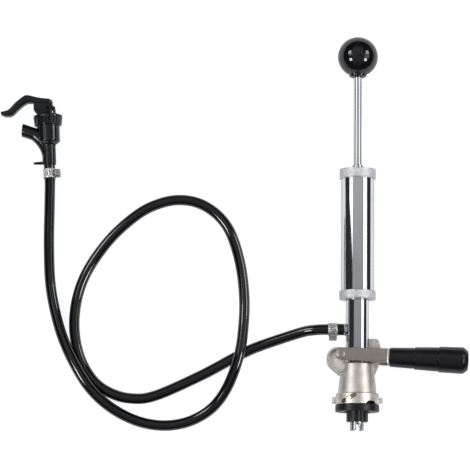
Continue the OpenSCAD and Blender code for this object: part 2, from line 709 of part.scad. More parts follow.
module top_cap() color("#c9ccd0") revolved([
    [barrel_r + fixed_gap, cap_y], [collar_r - edge, cap_y], [collar_r, cap_y + edge],
    [collar_r, cap_top - edge], [collar_r - edge, cap_top], [bush_shank_r, cap_top],
    [bush_shank_r, barrel_top], [barrel_r + fixed_gap, barrel_top]]);

module rod_bush() color("#e3e6ea") revolved(concat(
    [[rod_r + running_gap, barrel_top], [bush_shank_r, barrel_top], [bush_shank_r, cap_top],
        [bush_d / 2, cap_top]],
    arc([bush_d / 2 - 1, bush_top - 1], 1, 0, 90, 6), [[rod_r + running_gap, bush_top]]));

module pump_rod() color("#e6e9ec") revolved([
    [0, nut_y - 1], [rod_thread_r - edge, nut_y - 1], [rod_thread_r, nut_y - 1 + edge],
    [rod_thread_r, piston_top], [rod_r, piston_top], [rod_r, bead_y], [rod_thread_r, bead_y],
    [rod_thread_r, bead_y + insert_h - 2], [0, bead_y + insert_h - 2]]);

// Guide disc above the cup, dished to save weight
module piston() color("#c8ab63") revolved([
    [rod_thread_r, piston_top - piston_t], [piston_r - 2 * dish, piston_top - piston_t],
    [piston_r, piston_top - piston_t + dish], [piston_r, piston_top - dish],
    [piston_r - 2 * dish, piston_top - dish], [rod_r + 2 * dish, piston_top], [rod_thread_r, piston_top]]);

// Cup washer: its lip points down and presses on the bore as the rod is pushed
module piston_cup() color("#3a2a1e") revolved([
    [rod_thread_r, washer_y + washer_t], [bore_r - cup_lip - 0.6, washer_y + washer_t],
    [bore_r - cup_lip + 0.4, cup_y], [piston_r, cup_y], [piston_r - edge, cup_y + cup_h],
    [rod_thread_r, cup_y + cup_h]]);

module piston_washer() color("#c8ab63")
    bar_ring(bore_r - 2 * cup_lip, rod_thread_r, washer_y, washer_y + washer_t);

module piston_nut() color("silver") difference() {
    along_y() translate([0, 0, nut_y]) cylinder(d = nut_across / cos(30), h = nut_h, $fn = 6);
    bar(rod_thread_r, nut_y - over, washer_y + over);
}

module knob_insert() color("#b89a5a") bar_ring(insert_r, rod_thread_r, bead_y, bead_y + insert_h);

module ball_knob() color("#121214") difference() {
    union() {
        translate([0, ball_y, 0]) sphere(ball_r);
        revolved(concat([[0, bead_y]], arc([bead_d / 2 - 1.4, bead_y + 1.4], 1.4, -90, 40, 8),
            [[bead_d / 2 - 1, bead_y + 5], [0, bead_y + 5]]));
    }
    bar(insert_r, bead_y - over, bead_y + insert_h);
}

module hose() color("#0f0f11") hose_along(hose_path, hose_r, hose_bore_d / 2, hose_sides);

// A worm-drive clamp about the X axis: a thin band, and a saddle that houses the screw
module clamp_band() difference() {
    union() {
        rotate([0, 90, 0]) cylinder(r = hose_r + clamp_t + fixed_gap, h = clamp_w);
        translate([clamp_w * 0.08, -hose_r - clamp_t - saddle_h, -saddle_len / 2])
            cube([clamp_w * 0.84, saddle_h + 0.6, saddle_len]);
    }
    translate([-over, 0, 0]) rotate([0, 90, 0]) cylinder(r = hose_r + fixed_gap, h = clamp_w + 2 * over);
    translate([clamp_w / 2, -hose_r - clamp_t - saddle_h / 2, 0])
        cross_bar(worm_r, -saddle_len / 2 - over, saddle_len / 2 + over);
}

// Slotted hex-headed screw across the saddle
module clamp_screw() translate([clamp_w / 2, -hose_r - clamp_t - saddle_h / 2, 0]) difference() {
    union() {
        cross_bar(worm_r, -saddle_len / 2 - 1, saddle_len / 2 + 0.1);
        translate([0, 0, saddle_len / 2]) cylinder(d = worm_head_d, h = worm_head_t, $fn = 6);
    }
    translate([-worm_head_d, -worm_slot / 2, saddle_len / 2 + worm_head_t - worm_slot])
        cube([2 * worm_head_d, worm_slot, worm_head_t]);
}

// The clamp at the pump hangs its saddle towards the lever, and the one at the faucet towards the pump
module at_pump_clamp() translate([-outlet_face - clamp_in - clamp_w, outlet_y, 0]) children();
module at_faucet() translate(faucet_at) rotate([0, 0, faucet_lean]) children();
module at_faucet_clamp() at_faucet() translate([0, 2.6 - clamp_in - clamp_w, 0])
    rotate([0, 0, 90]) children();

module pump_clamp() color("#d9dbdd") at_pump_clamp() clamp_band();
module pump_clamp_screw() color("#b9bcc0") at_pump_clamp() clamp_screw();
module faucet_clamp() color("#d9dbdd") at_faucet_clamp() clamp_band();
module faucet_clamp_screw() color("#b9bcc0") at_faucet_clamp() clamp_screw();

// Places what is drawn along Z on the spout's axis, starting at the faucet's axis
module along_spout() translate([0, spout_y, 0]) rotate([0, 0, 180 - spout_rise])
    rotate([0, 90, 0]) children();

// Web that fairs the spout into the shank
module gusset() {
    foot_y = spout_y - spout_r / cos(spout_rise) + shank_d / 2 * tan(spout_rise);
    tangent = gusset_r / tan(45 + spout_rise / 2);
    translate([0, 0, -gusset_t / 2]) linear_extrude(gusset_t) difference() {
        polygon([
            [-shank_d / 2 + 2, foot_y - tangent], [-shank_d / 2 - 0.3, foot_y - tangent],
            [-shank_d / 2 - tangent * cos(spout_rise), foot_y + tangent * sin(spout_rise)],
            [-shank_d / 2 - 2, foot_y + 5], [-shank_d / 2 + 2, foot_y + 5]]);
        translate([-shank_d / 2 - gusset_r - 0.3, foot_y - tangent - 0.2]) circle(gusset_r);
    }
}

module faucet_body() color("#141417") at_faucet() difference() {
    union() {
        revolved([
            [0, 0], [shank_d / 2 - edge, 0], [shank_d / 2, edge], [shank_d / 2, shank_len],
            [faucet_d / 2 - edge, body_y - edge / 2], [faucet_d / 2, body_y + edge],
            [faucet_d / 2, bonnet_y], [thread_r, bonnet_y], [thread_r, bonnet_y + skirt_h - fixed_gap],
            [0, bonnet_y + skirt_h - fixed_gap]]);
        rotate([180, 0, 0]) revolved(concat([[0, -1]],
            [for (p = barb_profile(-1, barb_len + 1)) if (p.x > barb_bore_r) p], [[0, barb_len]]));
        along_spout() cylinder(r = spout_r, h = spout_reach / cos(spout_rise) + 4);
        gusset();
        translate([1 - shank_d / 2, peg_y, 0]) rotate([0, -90, 0])
            cylinder(r1 = peg_r, r2 = peg_tip_r, h = peg_len + 1);
        translate([-shank_d / 2 - peg_len, peg_y, 0]) sphere(peg_tip_r);
    }
    // The mouth of the spout is cut almost in line with the faucet
    translate([-spout_reach, spout_y + spout_reach * tan(spout_rise), 0]) rotate([0, 0, -mouth_slant])
        translate([-spout_d, -spout_d, -spout_d]) cube([spout_d, 2 * spout_d, 2 * spout_d]);
    bar(barb_bore_r, -barb_len - over, seat_y + over);
    bar(valve_r, seat_y, bonnet_top);
    along_spout() translate([0, 0, valve_r * 0.76]) cylinder(d = spout_bore_d, h = spout_reach * 1.5);
}

// Fluted ring nut with a boss that the lever's cam rides on, and a guard behind the lever
module faucet_bonnet() color("#161619") at_faucet() difference() {
    union() {
        revolved([
            [thread_r + fixed_gap, bonnet_y], [bonnet_d / 2 - edge, bonnet_y],
            [bonnet_d / 2, bonnet_top - 2 * edge], [bonnet_d / 2 - 2 * edge, bonnet_top],
            [boss_r + edge, bonnet_top], [boss_r, bonnet_top + boss_h],
            [stem_r + running_gap, bonnet_top + boss_h], [stem_r + running_gap, bonnet_y + skirt_h],
            [thread_r + fixed_gap, bonnet_y + skirt_h]]);
        translate([guard_x, bonnet_top + boss_h - 0.5, -guard_w / 2])
            cube([guard_t, pivot_y - bonnet_top + 1.6, guard_w]);
    }
    for (i = [0 : bonnet_flutes - 1]) rotate([0, 360 * (i + 0.5) / bonnet_flutes, 0])
        translate([bonnet_d / 2 + 0.7, 0, 0]) bar(1.7, bonnet_y + 1.2, bonnet_top + over);
}

// Valve stem: a boss in the rubber seal, a flange for the spring and a tongue for the pivot pin
module faucet_stem() color("#232327") at_faucet() difference() {
    stem_top = bonnet_top + boss_h;
    union() {
        revolved([
            [0, stem_nose_y], [stem_nose_r, stem_nose_y], [stem_nose_r, stem_flange_y],
            [stem_flange_r, stem_flange_y], [stem_flange_r, stem_flange_y + stem_flange_t],
            [stem_r, stem_flange_y + stem_flange_t], [stem_r, stem_top + 1.6], [0, stem_top + 1.6]]);
        translate([0, 0, -tongue_t / 2]) linear_extrude(tongue_t) {
            translate([0, pivot_y]) circle(stem_r - 0.05);
            translate([0.4 - stem_r, stem_top]) square([2 * stem_r - 0.8, pivot_y - stem_top]);
        }
    }
    translate([0, pivot_y, 0]) cross_bar(pivot_r + running_gap, -tongue_t, tongue_t);
}

module faucet_seal() color("#2b2b2e") at_faucet() revolved([
    [0, seal_y], [stem_flange_r - edge, seal_y], [stem_flange_r, seal_y + edge],
    [stem_flange_r, stem_flange_y], [stem_nose_r, stem_flange_y], [stem_nose_r, stem_nose_y],
    [0, stem_nose_y]]);

// Closing spring round the stem, between its flange and the bonnet
module faucet_spring() color("silver") at_faucet() {
    steps = 8 * spring_turns;
    sides = 6;
    points = [
        for (i = [0 : steps])
            let (a = 360 * i / 8, y = spring_low + (spring_high - spring_low) * i / steps)
            for (j = [0 : sides - 1])
                let (r = spring_r + spring_wire_r * cos(360 * j / sides))
                [r * cos(a), y + spring_wire_r * sin(360 * j / sides), r * sin(a)]];
    last = steps * sides;
    caps = [for (j = [1 : sides - 2]) each [[0, j + 1, j], [last, last + j, last + j + 1]]];
    polyhedron(points, concat(wall_faces(steps + 1, sides, 0, true), caps));
}

module faucet_pin() color("gray") at_faucet() translate([0, pivot_y, 0])
    cross_bar(pivot_r, -head_w / 2, head_w / 2);

// Side view of the thumb lever's arm, from the head over the elbow to the tip and back
module thumb_outline() {
    top = [
        [4.6, 8.9], [-9, 11.2], [-20, 14.2], [-25, 13.2], [-34, 6.6], [-40.5, 0.2], [-45, -1.6],
        [-48.8, -2.3]];
    under = [
        [-49, -5], [-45, -6.8], [-40.5, -7.6], [-36.5, -6], [-29, 1.4], [-23, 6.4], [-19, 7],
        [-15.5, 5.6], [-13.8, 1]];
    translate([0, pivot_y]) {
        polygon(concat(smooth_curve(top, 4), smooth_curve(under, 4), [[-8, 0], [3.6, 0]]));
        translate([-cam_offset, 0]) circle(cam_r);
        circle(pivot_boss_r);
        translate([-cam_offset, -pivot_boss_r + 0.2]) square([cam_offset, pivot_boss_r]);
    }
}

module faucet_lever() color("#141417") at_faucet() difference() {
    translate([0, 0, -thumb_w / 2]) linear_extrude(thumb_w) thumb_outline();
    // The head is narrower than the arm, and forked over the stem's tongue
    for (side = [-1, 1]) translate([-cam_offset - cam_r - over, bonnet_top, side > 0 ? head_w / 2 : -thumb_w])
        cube([cam_offset + 2 * cam_r + 8, pivot_y - bonnet_top + 5, thumb_w - head_w / 2]);
    translate([-fork_back, bonnet_top, -tongue_t / 2 - moving_gap])
        cube([fork_back + fork_front, pivot_y - bonnet_top + fork_front, tongue_t + 2 * moving_gap]);
    translate([-fork_back, bonnet_top, -stem_r - 0.5])
        cube([fork_back + fork_front, boss_h + 3.6, 2 * stem_r + 1]);
    translate([0, pivot_y, 0]) cross_bar(pivot_r, -thumb_w, thumb_w);
}

coupler_body();
bottom_seal();
hinge_pin();
hinge_clip();
lever_strap();
drive_pins();
grip_stud();
lever_grip();
neck();
neck_rings();
probe();
probe_sleeve();
outlet_barb();
check_ball();
lower_collar();
barrel_gasket();
air_valve_seat();
air_valve();
barrel();
top_cap();
rod_bush();
pump_rod();
piston();
piston_cup();
piston_washer();
piston_nut();
knob_insert();
ball_knob();
hose();
pump_clamp();
pump_clamp_screw();
faucet_clamp();
faucet_clamp_screw();
faucet_body();
faucet_bonnet();
faucet_stem();
faucet_seal();
faucet_spring();
faucet_pin();
faucet_lever();
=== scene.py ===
import bmesh
import bpy
import math
import numpy as np
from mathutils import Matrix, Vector


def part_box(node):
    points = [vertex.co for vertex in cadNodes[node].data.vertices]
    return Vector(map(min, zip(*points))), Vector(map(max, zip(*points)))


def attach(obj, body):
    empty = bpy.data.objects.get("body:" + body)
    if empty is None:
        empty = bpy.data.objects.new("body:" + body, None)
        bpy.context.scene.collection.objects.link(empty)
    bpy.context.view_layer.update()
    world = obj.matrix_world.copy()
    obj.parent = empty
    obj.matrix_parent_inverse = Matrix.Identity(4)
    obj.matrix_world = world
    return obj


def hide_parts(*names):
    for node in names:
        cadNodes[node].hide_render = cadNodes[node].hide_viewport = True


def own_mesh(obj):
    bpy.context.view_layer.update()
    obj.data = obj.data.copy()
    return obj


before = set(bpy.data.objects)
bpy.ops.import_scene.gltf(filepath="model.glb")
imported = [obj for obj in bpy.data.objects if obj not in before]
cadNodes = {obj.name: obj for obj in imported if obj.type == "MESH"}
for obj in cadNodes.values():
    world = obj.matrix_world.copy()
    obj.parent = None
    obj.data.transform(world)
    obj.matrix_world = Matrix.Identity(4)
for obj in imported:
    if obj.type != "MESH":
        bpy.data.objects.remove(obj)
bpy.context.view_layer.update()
mm = 0.001  # the sizes below are in millimetres, as in the solids
scene = bpy.context.scene
print("frame: loaded", len(cadNodes), "solids")

# Camera

shot = {
    "place": (-25.886, -234.666, 2925.277),
    "turn": (8.145, 1.916, 0.464),  # degrees off straight down
    "lens": 218.129,
    "sensor": 36.0,
    "clip": (0.05, 60.0),  # metres
}


# The camera stands high above the table with a long lens
def placeCamera(look):
    data = bpy.data.cameras.new("shotCamera")
    data.sensor_fit = "HORIZONTAL"
    data.sensor_width = look["sensor"]
    data.lens = look["lens"]
    data.clip_start, data.clip_end = look["clip"]
    holder = bpy.data.objects.new("shotCamera", data)
    holder.location = [value * mm for value in look["place"]]
    holder.rotation_euler = [math.radians(value) for value in look["turn"]]
    scene.collection.objects.link(holder)
    scene.camera = holder


placeCamera(shot)
print("camera: placed")

# Shader maths


# One node's output; sums on it add Math nodes
class Signal:
    def __init__(self, bench, socket):
        self.bench = bench
        self.socket = socket

    def math(self, operation, *others, swapped=False):
        values = [self, *others]
        if swapped:
            values.reverse()
        return self.bench.add("Math", {"operation": operation}, dict(enumerate(values)))

    def __add__(self, other):
        return self.math("ADD", other)

    def __sub__(self, other):
        return self.math("SUBTRACT", other)

    def __rsub__(self, other):
        return self.math("SUBTRACT", other, swapped=True)

    def __mul__(self, other):
        return self.math("MULTIPLY", other)

    def __pow__(self, other):
        return self.math("POWER", other)

    __radd__ = __add__
    __rmul__ = __mul__


# The nodes of one material or world; add makes every one of them
class Bench:
    def __init__(self, tree):
        self.tree = tree
        tree.nodes.clear()

    def add(self, kind, settings=None, inputs=None, output=0):
        made = self.tree.nodes.new("ShaderNode" + kind)
        for key, value in (settings or {}).items():
            setattr(made, key, value)
        for key, value in (inputs or {}).items():
            if isinstance(value, Signal):
                self.tree.links.new(value.socket, made.inputs[key])
            else:
                made.inputs[key].default_value = value
        return Signal(self, made.outputs[output]) if made.outputs else None

    def place(self, stretch=(1.0, 1.0, 1.0), turn=(0.0, 0.0, 0.0)):
        where = self.add("TexCoord", output="Object")
        return self.add("Mapping", {}, {"Vector": where, "Scale": stretch, "Rotation": turn})

    def axes(self):
        where = self.add("TexCoord", output="Object")
        return [self.add("SeparateXYZ", {}, {0: where}, output=k) for k in range(3)]

    def noise(self, size, detail=3.0, rough=0.55, **where):
        return self.add("TexNoise", {}, {
            "Vector": self.place(**where), "Scale": size, "Detail": detail, "Roughness": rough})

    # Noise drawn out into lines: the higher a direction's number, the finer they are along it
    def lines(self, stretch, **more):
        return self.noise(1.0, stretch=stretch, **more)

    # Goes smoothly from one value to another over a pair of limits
    def between(self, value, limits, toLow=0.0, toHigh=1.0):
        return self.add("MapRange", {"interpolation_type": "SMOOTHSTEP"}, {
            "Value": value, "From Min": limits[0], "From Max": limits[1], "To Min": toLow, "To Max": toHigh})

    def below(self, value, limits):
        return self.between(value, limits, 1.0, 0.0)

    def mix(self, factor, first, second):
        return self.add("Mix", {"data_type": "RGBA"}, {0: factor, 6: first, 7: second}, output=2)

    # Two patterns as one, the first with the given share
    def blend(self, first, second, share=0.5):
        return first * share + second * (1 - share)

    def bump(self, height, strength, depth, under=None):
        inputs = {"Height": height, "Strength": strength, "Distance": depth * mm}
        if under is not None:
            inputs["Normal"] = under
        return self.add("Bump", {}, inputs)

    # Painted shade: the colour turns to a shade colour in corners, where near faces leave little of the sky
    # open
    def paintCornerShade(self, look, plate):
        sky = self.add("AmbientOcclusion", {"samples": 8}, {"Distance": look["reach"] * mm}, output="AO")
        return self.mix(self.between(sky, look["shadeFade"]), look["paintedShade"], plate)

    def roundEdges(self, radius):
        return self.add("Bevel", {"samples": 6}, {"Radius": radius * mm})

    def mark(self, name):
        return self.add("Attribute", {"attribute_name": name}, output="Fac")

    def close(self, inputs):
        shader = self.add("BsdfPrincipled", {}, inputs)
        self.add("OutputMaterial", {}, {"Surface": shader})


# An empty material and the bench that fills it
def newMaterial(name):
    material = bpy.data.materials.new(name)
    material.use_nodes = True
    return material, Bench(material.node_tree)


# A solid colour
def rgb(red, green, blue):
    return (red, green, blue, 1.0)


# Finishes: patterns are sized per metre, reaches and depths are in millimetres,
# and a relief is a bump's strength and depth; a reach sets how far the painted corner shade spreads

mirrorChrome = {
    "pale": rgb(0.83, 0.84, 0.88), "dull": rgb(0.74, 0.76, 0.81), "paintedShade": rgb(0.10, 0.09, 0.085),
    "reach": 5.0, "shadeFade": (0.25, 0.75), "smears": (70, 24.5, 70), "smeared": (0.45, 0.75),
    "scratches": (900, 40, 900), "gloss": 0.035, "smearGloss": 0.05, "scratchGloss": 0.012,
}


# Chrome: smears dull it and fine scratches roughen it, both only a little
def makeMirrorChrome(look):
    material, bench = newMaterial("mirrorChrome")
    smear = bench.between(bench.lines(look["smears"], detail=4.0), look["smeared"])
    scratch = bench.lines(look["scratches"], detail=2.0)
    bench.close({
        # Painted shade darkens the colour in corners and close to other parts
        "Base Color": bench.paintCornerShade(look, bench.mix(smear, look["pale"], look["dull"])),
        "Metallic": 1.0,
        "Roughness": look["gloss"] + smear * look["smearGloss"] + scratch * look["scratchGloss"]})
    return material


castNickel = {
    "pale": rgb(0.83, 0.785, 0.735), "dark": rgb(0.66, 0.62, 0.575), "litPale": rgb(0.93, 0.90, 0.87),
    "cut": rgb(0.52, 0.45, 0.40), "paintedShade": rgb(0.08, 0.07, 0.06), "reach": 4.0, "shadeFade": (0.15, 0.65),
    "cloud": 140.0, "rings": (14, 1500, 14), "grain": 1900.0, "cloudShare": 0.65, "toned": (0.34, 0.66),
    "gloss": 0.38, "cutGloss": -0.22, "castGloss": 0.15, "cloudGloss": 0.10, "ringGloss": 0.06,
    "relief": (0.22, 0.09), "edge": 0.35,
    "bow": -34.0, "bowLine": 0.0094, "lean": 0.10, "bowRelief": (1.0, 1000.0),  # heights in metres
    # Where each zone begins or ends, in metres
    "cutFloor": (0.0212, 0.0217), "flangeLow": (0.0072, 0.0075), "flangeHigh": (0.0179, 0.0181),
    "earFace": (0.0087, 0.0090), "earBack": (0.0080, 0.0083), "earSide": (-0.0150, -0.0140),
    "earFoot": (0.0385, 0.0395), "earShare": 0.6, "lugFoot": (0.0222, 0.0225), "lugTop": (0.0200, 0.0210),
}


# Nickel: clouds and the fine rings left by turning, with zones picked out by their place on the coupler
def makeCastNickel(look):
    material, bench = newMaterial("castNickel")
    cloud = bench.noise(look["cloud"], detail=4.0)
    rings = bench.lines(look["rings"])
    grain = bench.noise(look["grain"], detail=2.0)
    x, y, z = bench.axes()
    away = (x * x + z * z) ** 0.5
    # The floors of the cuts in the flange lie inside its radius; they are machined smooth
    cut = bench.below(away, look["cutFloor"]) * bench.between(y, look["flangeLow"])
    cut = cut * bench.below(y, look["flangeHigh"])
    # The ears' hollows and the lugs beyond the flange are left as cast and rougher; their paler colour is
    # painted light
    depth = z.math("ABSOLUTE")
    hollow = bench.below(depth, look["earFace"]) * bench.between(depth, look["earBack"])
    hollow = hollow * bench.below(x, look["earSide"]) * bench.between(y, look["earFoot"])
    lugs = bench.between(x.math("ABSOLUTE"), look["lugFoot"]) * bench.below(y, look["lugTop"])
    castAndLit = lugs.math("MAXIMUM", hollow * look["earShare"])
    tone = bench.between(bench.blend(cloud, rings, look["cloudShare"]), look["toned"])
    plate = bench.mix(castAndLit, bench.mix(tone, look["dark"], look["pale"]), look["litPale"])
    # Each cut's floor is bowed and leans: it falls with the square of the way from a line, and rises with y
    along = x * z.math("SIGN") + look["bowLine"]
    floor = (along * along * look["bow"] + y * look["lean"]) * cut
    bowed = bench.bump(floor, *look["bowRelief"], bench.roundEdges(look["edge"]))
    gloss = look["gloss"] + cloud * look["cloudGloss"] + rings * look["ringGloss"]
    bench.close({
        # Painted shade darkens the colour in corners and close to other parts
        "Base Color": bench.paintCornerShade(look, bench.mix(cut, plate, look["cut"])),
        "Metallic": 1.0,
        "Roughness": gloss + cut * look["cutGloss"] + castAndLit * look["castGloss"],
        "Normal": bench.bump(bench.blend(rings, grain), *look["relief"], bowed)})
    return material


satinStrap = {
    "pale": rgb(0.55, 0.495, 0.45), "dark": rgb(0.43, 0.385, 0.35), "paintedShade": rgb(0.03, 0.026, 0.023),
    "reach": 1.6, "shadeFade": (0.30, 0.75), "brush": (26, 2300, 2300), "turn": 2.4, "cloud": 90.0,
    "brushShare": 0.6, "toned": (0.33, 0.67), "gloss": 0.30, "brushGloss": 0.12, "relief": (0.16, 0.06),
}


# Strap steel: long fine lines brushed down its length, which droops with the lever
def makeSatinStrap(look):
    material, bench = newMaterial("satinStrap")
    brush = bench.lines(look["brush"], turn=(0.0, 0.0, math.radians(look["turn"])))
    cloud = bench.noise(look["cloud"])
    tone = bench.between(bench.blend(brush, cloud, look["brushShare"]), look["toned"])
    bench.close({
        # Painted shade darkens the colour in corners and close to other parts
        "Base Color": bench.paintCornerShade(look, bench.mix(tone, look["dark"], look["pale"])),
        "Metallic": 1.0,
        "Roughness": look["gloss"] + brush * look["brushGloss"],
        "Normal": bench.bump(brush, *look["relief"])})
    return material


turnedMetal = {
    "cloud": 160.0, "rings": (40, 1800, 40), "toned": (0.35, 0.65), "shadeFade": (0.2, 0.7),
    "cloudGloss": 0.10, "ringGloss": 0.05, "relief": (0.15, 0.05),
}
machinedSteel = {
    **turnedMetal, "pale": rgb(0.80, 0.80, 0.82), "dark": rgb(0.62, 0.62, 0.64),
    "paintedShade": rgb(0.07, 0.065, 0.06), "reach": 2.0, "gloss": 0.14}
crossSteel = {**machinedSteel, "rings": (1500, 1500, 60)}  # turned about Z, as the pins are
knurledSilver = {
    **turnedMetal, "pale": rgb(0.79, 0.79, 0.81), "dark": rgb(0.68, 0.68, 0.71),
    "paintedShade": rgb(0.40, 0.40, 0.42), "reach": 0.5, "gloss": 0.44,
    "rings": (700, 700, 700), "relief": (0.12, 0.05)}
hingeMetal = {
    **turnedMetal, "pale": rgb(0.64, 0.59, 0.54), "dark": rgb(0.46, 0.42, 0.38),
    "paintedShade": rgb(0.05, 0.045, 0.04), "reach": 1.2, "gloss": 0.26, "rings": (1500, 1500, 60)}
probeMetal = {
    **turnedMetal, "pale": rgb(0.74, 0.74, 0.77), "dark": rgb(0.50, 0.50, 0.54),
    "paintedShade": rgb(0.05, 0.048, 0.05), "reach": 5.0, "gloss": 0.14}
turnedBrass = {
    **turnedMetal, "pale": rgb(0.80, 0.62, 0.30), "dark": rgb(0.60, 0.43, 0.18),
    "paintedShade": rgb(0.10, 0.07, 0.03), "reach": 1.5, "gloss": 0.24,
    "rings": (30, 1400, 30), "relief": (0.14, 0.05)}


# Turned metal: fine rings across the axis it was turned on, over soft clouds
def makeTurnedMetal(name, look):
    material, bench = newMaterial(name)
    rings = bench.lines(look["rings"])
    cloud = bench.noise(look["cloud"])
    tone = bench.between(bench.blend(rings, cloud), look["toned"])
    bench.close({
        # Painted shade darkens the colour in corners and close to other parts
        "Base Color": bench.paintCornerShade(look, bench.mix(tone, look["dark"], look["pale"])),
        "Metallic": 1.0,
        "Roughness": look["gloss"] + cloud * look["cloudGloss"] + rings * look["ringGloss"],
        "Normal": bench.bump(rings, *look["relief"])})
    return material


bandSteel = {
    **turnedMetal, "pale": rgb(0.88, 0.875, 0.87), "dark": rgb(0.56, 0.555, 0.55),
    "saddle": rgb(0.34, 0.33, 0.315), "slot": rgb(0.012, 0.011, 0.011), "paintedShade": rgb(0.05, 0.047, 0.045),
    "reach": 0.9, "gloss": 0.28, "cloudGloss": 0.08, "slotGloss": 0.2,
    "rings": (500, 900, 900), "relief": (0.9, 1.0),
}


# Clamp steel: points marked as slots show dark, as the hose does through them, and the saddle's are darker
def makeBandSteel(look):
    material, bench = newMaterial("bandSteel")
    rings = bench.lines(look["rings"])
    cloud = bench.noise(look["cloud"])
    slot = bench.mark("slotDepth")
    tone = bench.between(bench.blend(rings, cloud), look["toned"])
    metal = bench.mix(bench.mark("saddleShare"), bench.mix(tone, look["dark"], look["pale"]), look["saddle"])
    gloss = look["gloss"] + cloud * look["cloudGloss"] + rings * look["ringGloss"]
    bench.close({
        # Painted shade darkens the metal's colour in corners and close to other parts
        "Base Color": bench.mix(slot, bench.paintCornerShade(look, metal), look["slot"]),
        "Metallic": 1 - slot,
        "Roughness": gloss + slot * look["slotGloss"],
        "Normal": bench.bump(rings, *look["relief"])})
    return material


mouldedSkin = {
    "cloud": 55.0, "clouded": (0.35, 0.70), "dust": 420.0, "dusty": (0.56, 0.80),
    "cloudGloss": 0.05, "dustGloss": 0.07,
}
glossBlack = {
    **mouldedSkin, "deep": rgb(0.0035, 0.0037, 0.005), "worn": rgb(0.007, 0.0073, 0.009), "gloss": 0.05,
    "bend": 1.47, "grain": 300.0, "relief": (0.02, 0.05), "coat": 0.35, "coatGloss": 0.02}
gripBlack = {
    **mouldedSkin, "deep": rgb(0.0060, 0.0058, 0.0085), "worn": rgb(0.0105, 0.0102, 0.0145), "gloss": 0.22,
    "bend": 1.42, "grain": 1500.0, "relief": (0.10, 0.05), "coat": 0.1, "coatGloss": 0.12}
tapBlack = {
    **mouldedSkin, "deep": rgb(0.0025, 0.003, 0.005), "worn": rgb(0.006, 0.0068, 0.010), "gloss": 0.17,
    "bend": 1.43, "grain": 900.0, "relief": (0.06, 0.05), "coat": 0.2, "coatGloss": 0.06}
hoseVinyl = {
    **mouldedSkin, "deep": rgb(0.0008, 0.0008, 0.0014), "worn": rgb(0.0022, 0.0022, 0.0032), "gloss": 0.075,
    "bend": 1.54, "grain": 500.0, "relief": (0.05, 0.05), "coat": 0.3, "coatGloss": 0.05}
sealRubber = {
    **mouldedSkin, "deep": rgb(0.005, 0.005, 0.0065), "worn": rgb(0.012, 0.012, 0.015), "gloss": 0.30,
    "bend": 1.45, "grain": 1300.0, "relief": (0.16, 0.05), "coat": 0.0, "coatGloss": 0.3}


# Moulded plastic or rubber: worn in clouds, dulled by dust, with a fine grain under a thin coat
def makeMoulded(name, look):
    material, bench = newMaterial(name)
    cloud = bench.noise(look["cloud"], detail=4.0)
    dust = bench.between(bench.noise(look["dust"]), look["dusty"])
    bench.close({
        "Base Color": bench.mix(bench.between(cloud, look["clouded"]), look["deep"], look["worn"]),
        "Roughness": look["gloss"] + cloud * look["cloudGloss"] + dust * look["dustGloss"],
        "IOR": look["bend"],
        "Coat Weight": look["coat"],
        "Coat Roughness": look["coatGloss"],
        "Normal": bench.bump(bench.noise(look["grain"], detail=2.0), *look["relief"])})
    return material


oiledLeather = {
    "pale": rgb(0.20, 0.115, 0.06), "dark": rgb(0.075, 0.04, 0.02), "cloud": 200.0, "toned": (0.3, 0.7),
    "pores": 1100.0, "poreEdge": (0.0, 0.12), "gloss": 0.55, "cloudGloss": 0.15, "relief": (0.3, 0.12),
}


# Leather: clouds of oil, and pores that sink towards the edges of small cells
def makeLeather(look):
    material, bench = newMaterial("oiledLeather")
    cloud = bench.noise(look["cloud"], detail=4.0)
    pores = bench.add("TexVoronoi", {"feature": "DISTANCE_TO_EDGE"}, {
        "Vector": bench.place(), "Scale": look["pores"]})
    bench.close({
        "Base Color": bench.mix(bench.between(cloud, look["toned"]), look["dark"], look["pale"]),
        "Roughness": look["gloss"] + cloud * look["cloudGloss"],
        "Normal": bench.bump(bench.between(pores, look["poreEdge"]), *look["relief"])})
    return material


chrome = makeMirrorChrome(mirrorChrome)
nickel = makeCastNickel(castNickel)
strapSteel = makeSatinStrap(satinStrap)
steel = makeTurnedMetal("machinedSteel", machinedSteel)
pinSteel = makeTurnedMetal("pinSteel", crossSteel)
silver = makeTurnedMetal("knurledSilver", knurledSilver)
hingeSteel = makeTurnedMetal("hingeSteel", hingeMetal)
probeSteel = makeTurnedMetal("probeSteel", probeMetal)
band = makeBandSteel(bandSteel)
brass = makeTurnedMetal("turnedBrass", turnedBrass)
black = makeMoulded("glossBlack", glossBlack)
gripSkin = makeMoulded("gripBlack", gripBlack)
tapSkin = makeMoulded("tapBlack", tapBlack)
vinyl = makeMoulded("hoseVinyl", hoseVinyl)
rubber = makeMoulded("sealRubber", sealRubber)
leather = makeLeather(oiledLeather)
print("finishes: made", len(bpy.data.materials))

# Surfaces

weld = {"near": 2e-7, "sliver": 1e-8, "gapSides": 4}  # metres, metres, sides of a gap that is closed
fillets = {"side": 0.45, "lead": 0.05, "leadShare": 0.04}  # most of a side that one takes, and its lead-in


# Numbers of the quads on a grid of points; the last column joins the first, and the last row may too
def gridQuads(rows, columns, wrapRows):
    index = np.arange(rows * columns).reshape(rows, columns)
    if wrapRows:
        index = np.vstack([index, index[:1]])
    index = np.hstack([index, index[:, :1]])
    return np.stack([index[:-1, :-1], index[:-1, 1:], index[1:, 1:], index[1:, :-1]], -1).reshape(-1, 4)


# A patch is a grid of points, each row a closed ring; its end rows join each other, or lids close them
def patch(grid, wrapRows=False, lids=False):
    return {"grid": grid, "rows": wrapRows, "lids": lids}


